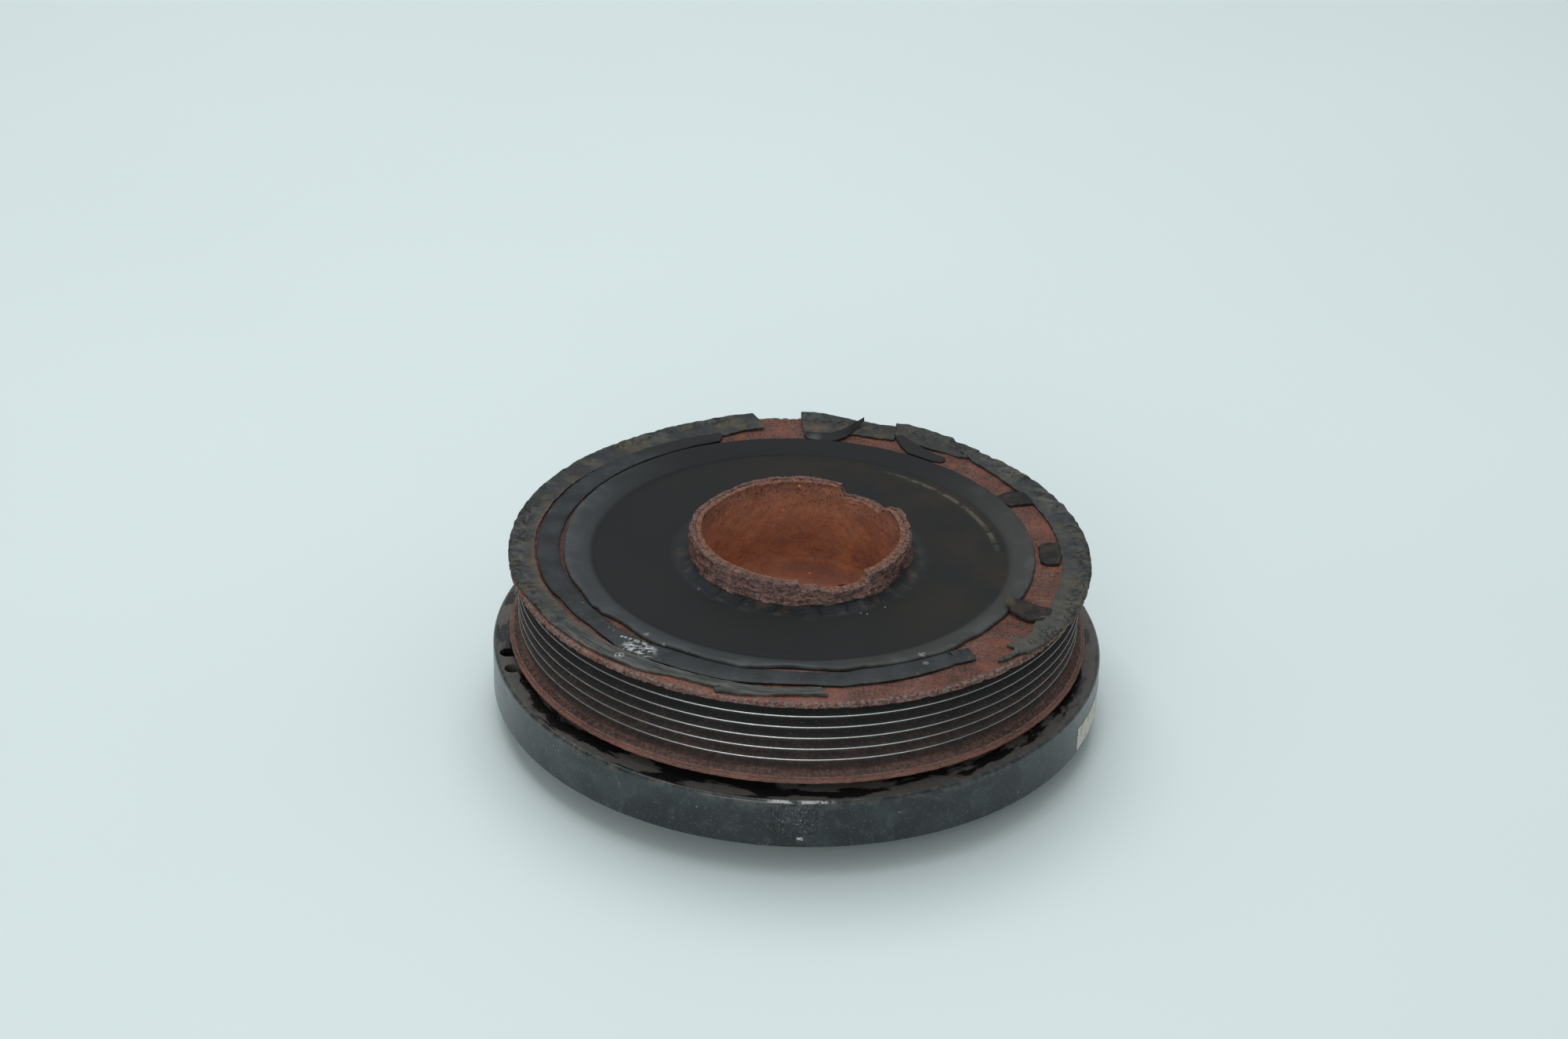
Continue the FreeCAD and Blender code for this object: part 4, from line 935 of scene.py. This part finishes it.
def make_films(finish):
    def worn(azimuth, radius, share):
        outward = soft_step(80, 84.5, radius)
        quiet = 0.5 * soft_step(75, 105, azimuth) * soft_step(215, 180, azimuth)
        quiet += 0.7 * soft_step(218, 236, azimuth) * soft_step(290, 280, azimuth)
        quiet += 0.5 * soft_step(-5, -30, azimuth)
        quiet += 0.45 * soft_step(8, 20, azimuth) * soft_step(90, 70, azimuth)
        return (0.85 + ripple(azimuth, radius, 2.2, 0.55) * (0.35 + 0.65 * outward) * (1 - quiet)
                + 0.22 * grain(azimuth, radius, 0, 3.4, 20) - 0.4 * soft_step(86, 87, radius))

    def film(name, node, inner, outer, start, end, cell=0.55):
        piece = torn_sheet(name, inner, outer, start, end, worn, cell)
        finished(piece, finish, node, 60)

    outer = [(101.5, 86.9, 1.5), (106, 86.9, 1), (113, 86.9, 0.5), (124, 86.9), (140, 86.9),
             (180, 86.8), (198, 86.6), (204, 85.6), (208, 85.2), (214, 85.5), (220.5, 85.1),
             (229.4, 85.3), (233.7, 84.7), (239, 84.4), (241.4, 84.0), (244.8, 82.7),
             (251.4, 82.7), (254.2, 83.4), (255, 85.4), (258, 85.1), (263, 84.3), (267, 83.1),
             (271, 83), (274, 82.8), (276.4, 83.6)]
    inner = [(99.4, 78.2, 0.2), (104, 77.6), (109.5, 75.6), (113, 76.4), (120, 77.2),
             (136, 77.4), (147, 78.3), (156, 78.9), (200, 79), (207, 78.7), (222, 78.7),
             (228, 79.3), (236, 79.1), (246, 79), (258, 79.6), (266, 80.2), (272, 79.2),
             (275.4, 79.1)]
    film("film_left", "skin_left", torn_line(inner, 21), torn_line(outer, 22),
         on_web([(99.4, 78.2, 0.2), (100, 81.6, 0.8), (100.8, 84.4, 1.3), (101.5, 86.9, 1.5)]),
         on_web([(275.4, 79.1), (275.3, 81), (276.4, 83.6)]))
    outer = [(-47, 83.6), (-45.7, 84.3), (-42, 84.7), (-39.8, 86.0), (-36, 86.5), (-30, 86.7),
             (-24, 86.9), (0, 86.9), (30, 86.9), (53.5, 86.9)]
    inner = [(-41.2, 79.2), (-39.6, 79.7), (-37.4, 80.6), (-34.9, 81.1), (-32.5, 80.4),
             (-30.8, 79.3), (-28.4, 78.7), (-24.5, 78.9), (-22.7, 79.4), (-18, 78.6),
             (-12, 78.4), (4, 78.1), (20, 78.1), (36, 78.2), (44, 79.1), (48, 79.6),
             (51, 81.6), (53.2, 82.4)]
    prongs = torn_line([(-41.2, 79.2), (-41.3, 80.4), (-41.0, 81.6), (-41.6, 82.6), (-44, 82.9),
                        (-47, 83.1), (-47, 83.6)], 44, 0.4, 0.2)
    film("film_right", "skin_right", torn_line(inner, 23), torn_line(outer, 24, strength=0.4),
         prongs, on_web([(53.2, 82.4), (53.5, 86.9)]))
    film("film_rear", "skin_rear", torn_line([(79.6, 76.8), (73.1, 77), (68.4, 77.8)], 25),
         torn_line([(79.6, 86.6), (74, 86.8), (69, 86.8)], 26, strength=0.3),
         on_web([(79.6, 76.8), (79.8, 82), (79.6, 86.6)]),
         on_web([(68.4, 77.8), (68.8, 82), (69, 86.8)]), 0.5)


def make_bridges(finish):
    """Scraps of the strip that still bridge the bare steel, right side."""
    def flat(azimuth, radius, share):
        return 0.75 + 0.12 * grain(azimuth, radius, 0, 3, 27)

    def dished(azimuth, radius, share):
        return 0.6 + 0.45 * abs(2 * share - 1) ** 2.5 + 0.12 * grain(azimuth, radius, 0, 3, 27)

    for place, lift, thick, *edges in (
        ("back", flat, 0.9, [(25.8, 71.0, 0), (25.4, 74.5, 0.1), (24.8, 78.1, 0.1)],
         [(31.2, 69.8, 0.3), (31.6, 73.6, 0.6), (31, 76, 0.8), (29.8, 79, 0.5)],
         [(25.8, 71.0, 0), (28.1, 70.3, 0.1), (31.2, 69.8, 0.3)],
         [(24.8, 78.1, 0.1), (25.8, 79.1, 0.2), (29.8, 79, 0.5)]),
        ("middle", dished, 1.1, [(-2.6, 71.9), (-3.6, 73), (-3.8, 75), (-3.2, 77.2)],
         [(4.6, 71.9), (5.9, 73), (6.3, 75.5), (5.6, 77.8)],
         [(-2.6, 71.9), (1, 71.4), (4.6, 71.9)], [(-3.2, 77.2), (1, 78.2), (5.6, 77.8)]),
        ("front", dished, 0.8,
         [(-26.8, 67.6, 2.2), (-29.4, 70.7, 1.0), (-30, 73.7, 0.3), (-29.9, 77.1, 0.1),
          (-28.1, 80, 0.2)],
         [(-25.7, 66.5, 2.8), (-25.1, 69.7, 1.9), (-24.2, 73.2, 1.2), (-24.3, 77.2, 0.7),
          (-23.6, 80.2, 0.5)],
         [(-26.8, 67.6, 2.2), (-25.7, 66.5, 2.8)],
         [(-28.1, 80, 0.2), (-25.6, 80.8, 0.3), (-23.6, 80.2, 0.5)]),
    ):
        piece = torn_sheet("bridge_" + place, *map(on_web, edges), lift, thick=thick)
        finished(piece, finish, "tab_" + place, 60)


def make_flaps(flake_finish, fold_finish):
    def folded(azimuth, radius, share):
        return (0.6 + 0.2 * grain(azimuth, radius, 0, 3, 28) + ripple(azimuth, radius, 2.6, 0.2)
                + 0.5 * soft_step(0.64, 0.72, share))

    def smooth(azimuth, radius, share):
        return 0.2 + 0.06 * grain(azimuth, radius, 0, 4, 29)

    def flap(name, node, inner, outer, start, end):
        piece = torn_sheet(name, inner, outer, on_web(start), on_web(end), folded, 0.45, 0.8)
        finished(piece, flake_finish, node, 60)

    def curl(name, *edges):
        piece = torn_sheet(name, *map(on_web, edges), smooth)
        finished(piece, fold_finish)

    flap("flap_rear_left", "flap_left",
         on_web([(89.9, 73.0), (87.1, 71.6), (84.1, 72.0), (81.7, 76.3), (79.9, 80.4, 0.1),
                 (79.3, 83.3, 0.2)]),
         torn_line([(90.8, 86.6, 1.3), (87.8, 86.9, 1.2), (84.4, 86.8, 0.7), (80.1, 86.4, 0.1),
                    (78.4, 85.6)], 28, strength=0.3),
         [(89.9, 73.0), (90.2, 77.8, 0.2), (90.8, 82.5, 0.7), (90.8, 86.6, 1.3)],
         [(79.3, 83.3, 0.2), (78.4, 85.6)])
    curl("horn_rear_left",
         [(89.4, 71.4, 0.5), (87.0, 70.4, 0.6), (84.5, 70.2, 0.6), (81.7, 71.2, 0.6),
          (79.5, 74.1, 0.8), (78.1, 78.7, 1.4), (77.2, 81.5, 2.2), (76.9, 83.7, 2.9)],
         [(89.9, 75.4, 0.9), (86.6, 74.2, 1.3), (83.5, 74.2, 1.6), (81.1, 76.2, 2.0),
          (79.3, 79.0, 2.5), (78.1, 81.8, 2.8), (77.5, 83.2, 3.0), (77.0, 84.9, 3.1)],
         [(89.4, 71.4, 0.5), (89.8, 73.4, 0.7), (89.9, 75.4, 0.9)],
         [(76.9, 83.7, 2.9), (77.0, 84.9, 3.1)])
    flap("flap_rear_right", "flap_right",
         torn_line([(67.6, 78.8, 0.8), (65, 78.2, 0.5), (62.1, 78.1, 0.2), (58.2, 78.3, 0.1),
                    (55.2, 79.1), (52, 79.3), (50.4, 80.8)], 30, strength=0.4),
         torn_line([(70, 86.2, 1.3), (67.4, 86.9, 1.3), (64.7, 86.9, 1.1), (62.1, 86.9, 1.0),
                    (59.2, 86.9, 0.9), (56.9, 87.0, 0.9), (56, 86.6, 0.1), (53, 86.8),
                    (50, 86.8)], 31, strength=0.3),
         [(67.6, 78.8, 0.8), (69, 80.4, 1.0), (69.6, 82.6, 1.2), (70, 86.2, 1.3)],
         [(50.4, 80.8), (50, 86.8)])
    curl("tongue_rear_right",
         [(68.6, 79.2, 1.3), (66, 75.1, 0.8), (62.9, 71.9, 0.5), (59.9, 71.7, 0.4),
          (56, 71.7, 0.3), (53.5, 72.8, 0.3)],
         [(67.1, 80.4, 1.6), (64.9, 79.4, 1.1), (62.5, 78, 0.8), (59, 76.5, 0.6),
          (56.2, 76.2, 0.4), (54.1, 76.4, 0.3)],
         [(68.6, 79.2, 1.3), (67.1, 80.4, 1.6)],
         [(53.5, 72.8, 0.3), (53.2, 74.6, 0.3), (54.1, 76.4, 0.3)])


def make_label(finish):
    put_down()
    bpy.ops.mesh.primitive_grid_add(x_subdivisions=60, y_subdivisions=16, size=1)
    piece = bpy.context.object
    piece.name = piece.data.name = "side_label"
    for vertex in piece.data.vertices:
        u, v = vertex.co.x + 0.5, vertex.co.y + 0.5
        azimuth = -24.5 + 20.3 * u + 0.25 * ragged(v * 40, 90, 29) * (1 - u)
        height = 8.8 + (7.5 - 0.4 * u) * v + 0.1 * ragged(azimuth, 90, 30) * (2 * v - 1)
        radius = LABEL_R + 0.03 * grain(azimuth, 91, height, 3, 31)
        vertex.co = round_place(azimuth, radius, height)
    piece.data.update()
    applied(piece, "SOLIDIFY", thickness=0.08 * MM, offset=0)
    finished(piece, finish)


# Light, floor and camera.


def lay_out_studio():
    put_down()
    bpy.ops.mesh.primitive_plane_add(size=6)
    floor = bpy.context.object
    floor.name = "floor"
    finish = Finish("floor_paint")
    haze = finish.bumps(240, 2, 0.5)
    finish.colour = finish.mixed(haze, (0.70, 0.80, 0.805), (0.74, 0.84, 0.845))
    floor.data.materials.append(finish.ready(0.5, haze * 0.02))
    world = bpy.data.worlds.new("studio")
    bpy.context.scene.world = world
    world.use_nodes = True
    sky = world.node_tree.nodes["Background"]
    sky.inputs["Color"].default_value = (0.93, 0.98, 1.0, 1)
    sky.inputs["Strength"].default_value = 0.42
    for name, place, size, watts in (
        ("overhead", (-0.12, 0.46, 1.44), 1.15, 13),
        ("front_fill", (-0.35, -1.5, 0.6), 0.9, 7),
    ):
        light = bpy.data.lights.new(name, "AREA")
        light.shape = "SQUARE"
        light.size = size
        light.energy = watts
        lamp = bpy.data.objects.new(name, light)
        bpy.context.scene.collection.objects.link(lamp)
        lamp.location = place
        lamp.rotation_euler = (-Vector(place)).to_track_quat("-Z", "Y").to_euler()


def set_camera():
    """Camera at the photograph's angle, fitted in radians and metres."""
    pitch, pan, tilt, roll = 0.522780, 0.0054482, 0.0213219, 0.036341
    place = (0, -0.81903, 0.51097)
    camera = bpy.data.objects.new("camera", bpy.data.cameras.new("camera"))
    bpy.context.scene.collection.objects.link(camera)
    camera.matrix_world = (Matrix.Translation(place) @ Matrix.Rotation(math.pi / 2 - pitch, 4, "X")
                           @ Matrix.Rotation(pan, 4, "Y") @ Matrix.Rotation(tilt, 4, "X")
                           @ Matrix.Rotation(roll, 4, "Z"))
    camera.data.lens = 72.18
    camera.data.sensor_width = 36
    bpy.context.scene.camera = camera
    bpy.context.scene.view_settings.view_transform = "Standard"


film = film_rubber()
strip = strip_rubber()
make_belt_pulley(pulley_steel())
make_collar(collar_scale())
make_hub(cup_rust())
make_coupling_rubber(disc_rubber())
make_strip(strip)
make_films(film)
make_bridges(strip)
make_flaps(film, strip)
make_label(label_paper())

inner_steel = plain_finish("inner_steel", (0.07, 0.055, 0.048), (0.12, 0.1, 0.09), 0.6, 7, 0.12)
bush_plastic = plain_finish("bush_plastic", (0.30, 0.27, 0.22), (0.38, 0.35, 0.29), 0.5, 9, 0.04)
damper_rubber = plain_finish("damper_rubber", (0.018, 0.018, 0.019), (0.032, 0.031, 0.03),
                             0.6, 6, 0.08)
for node, finish in (
    ("inertia_ring", ring_paint()), ("damper_rubber", damper_rubber),
    ("carrier_disc", inner_steel), ("bearing_sleeve", inner_steel),
    ("bearing_bush", bush_plastic), ("thrust_washer", bush_plastic),
):
    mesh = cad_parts[node].data
    mesh.materials.clear()
    mesh.materials.append(finish)

lay_out_studio()
set_camera()
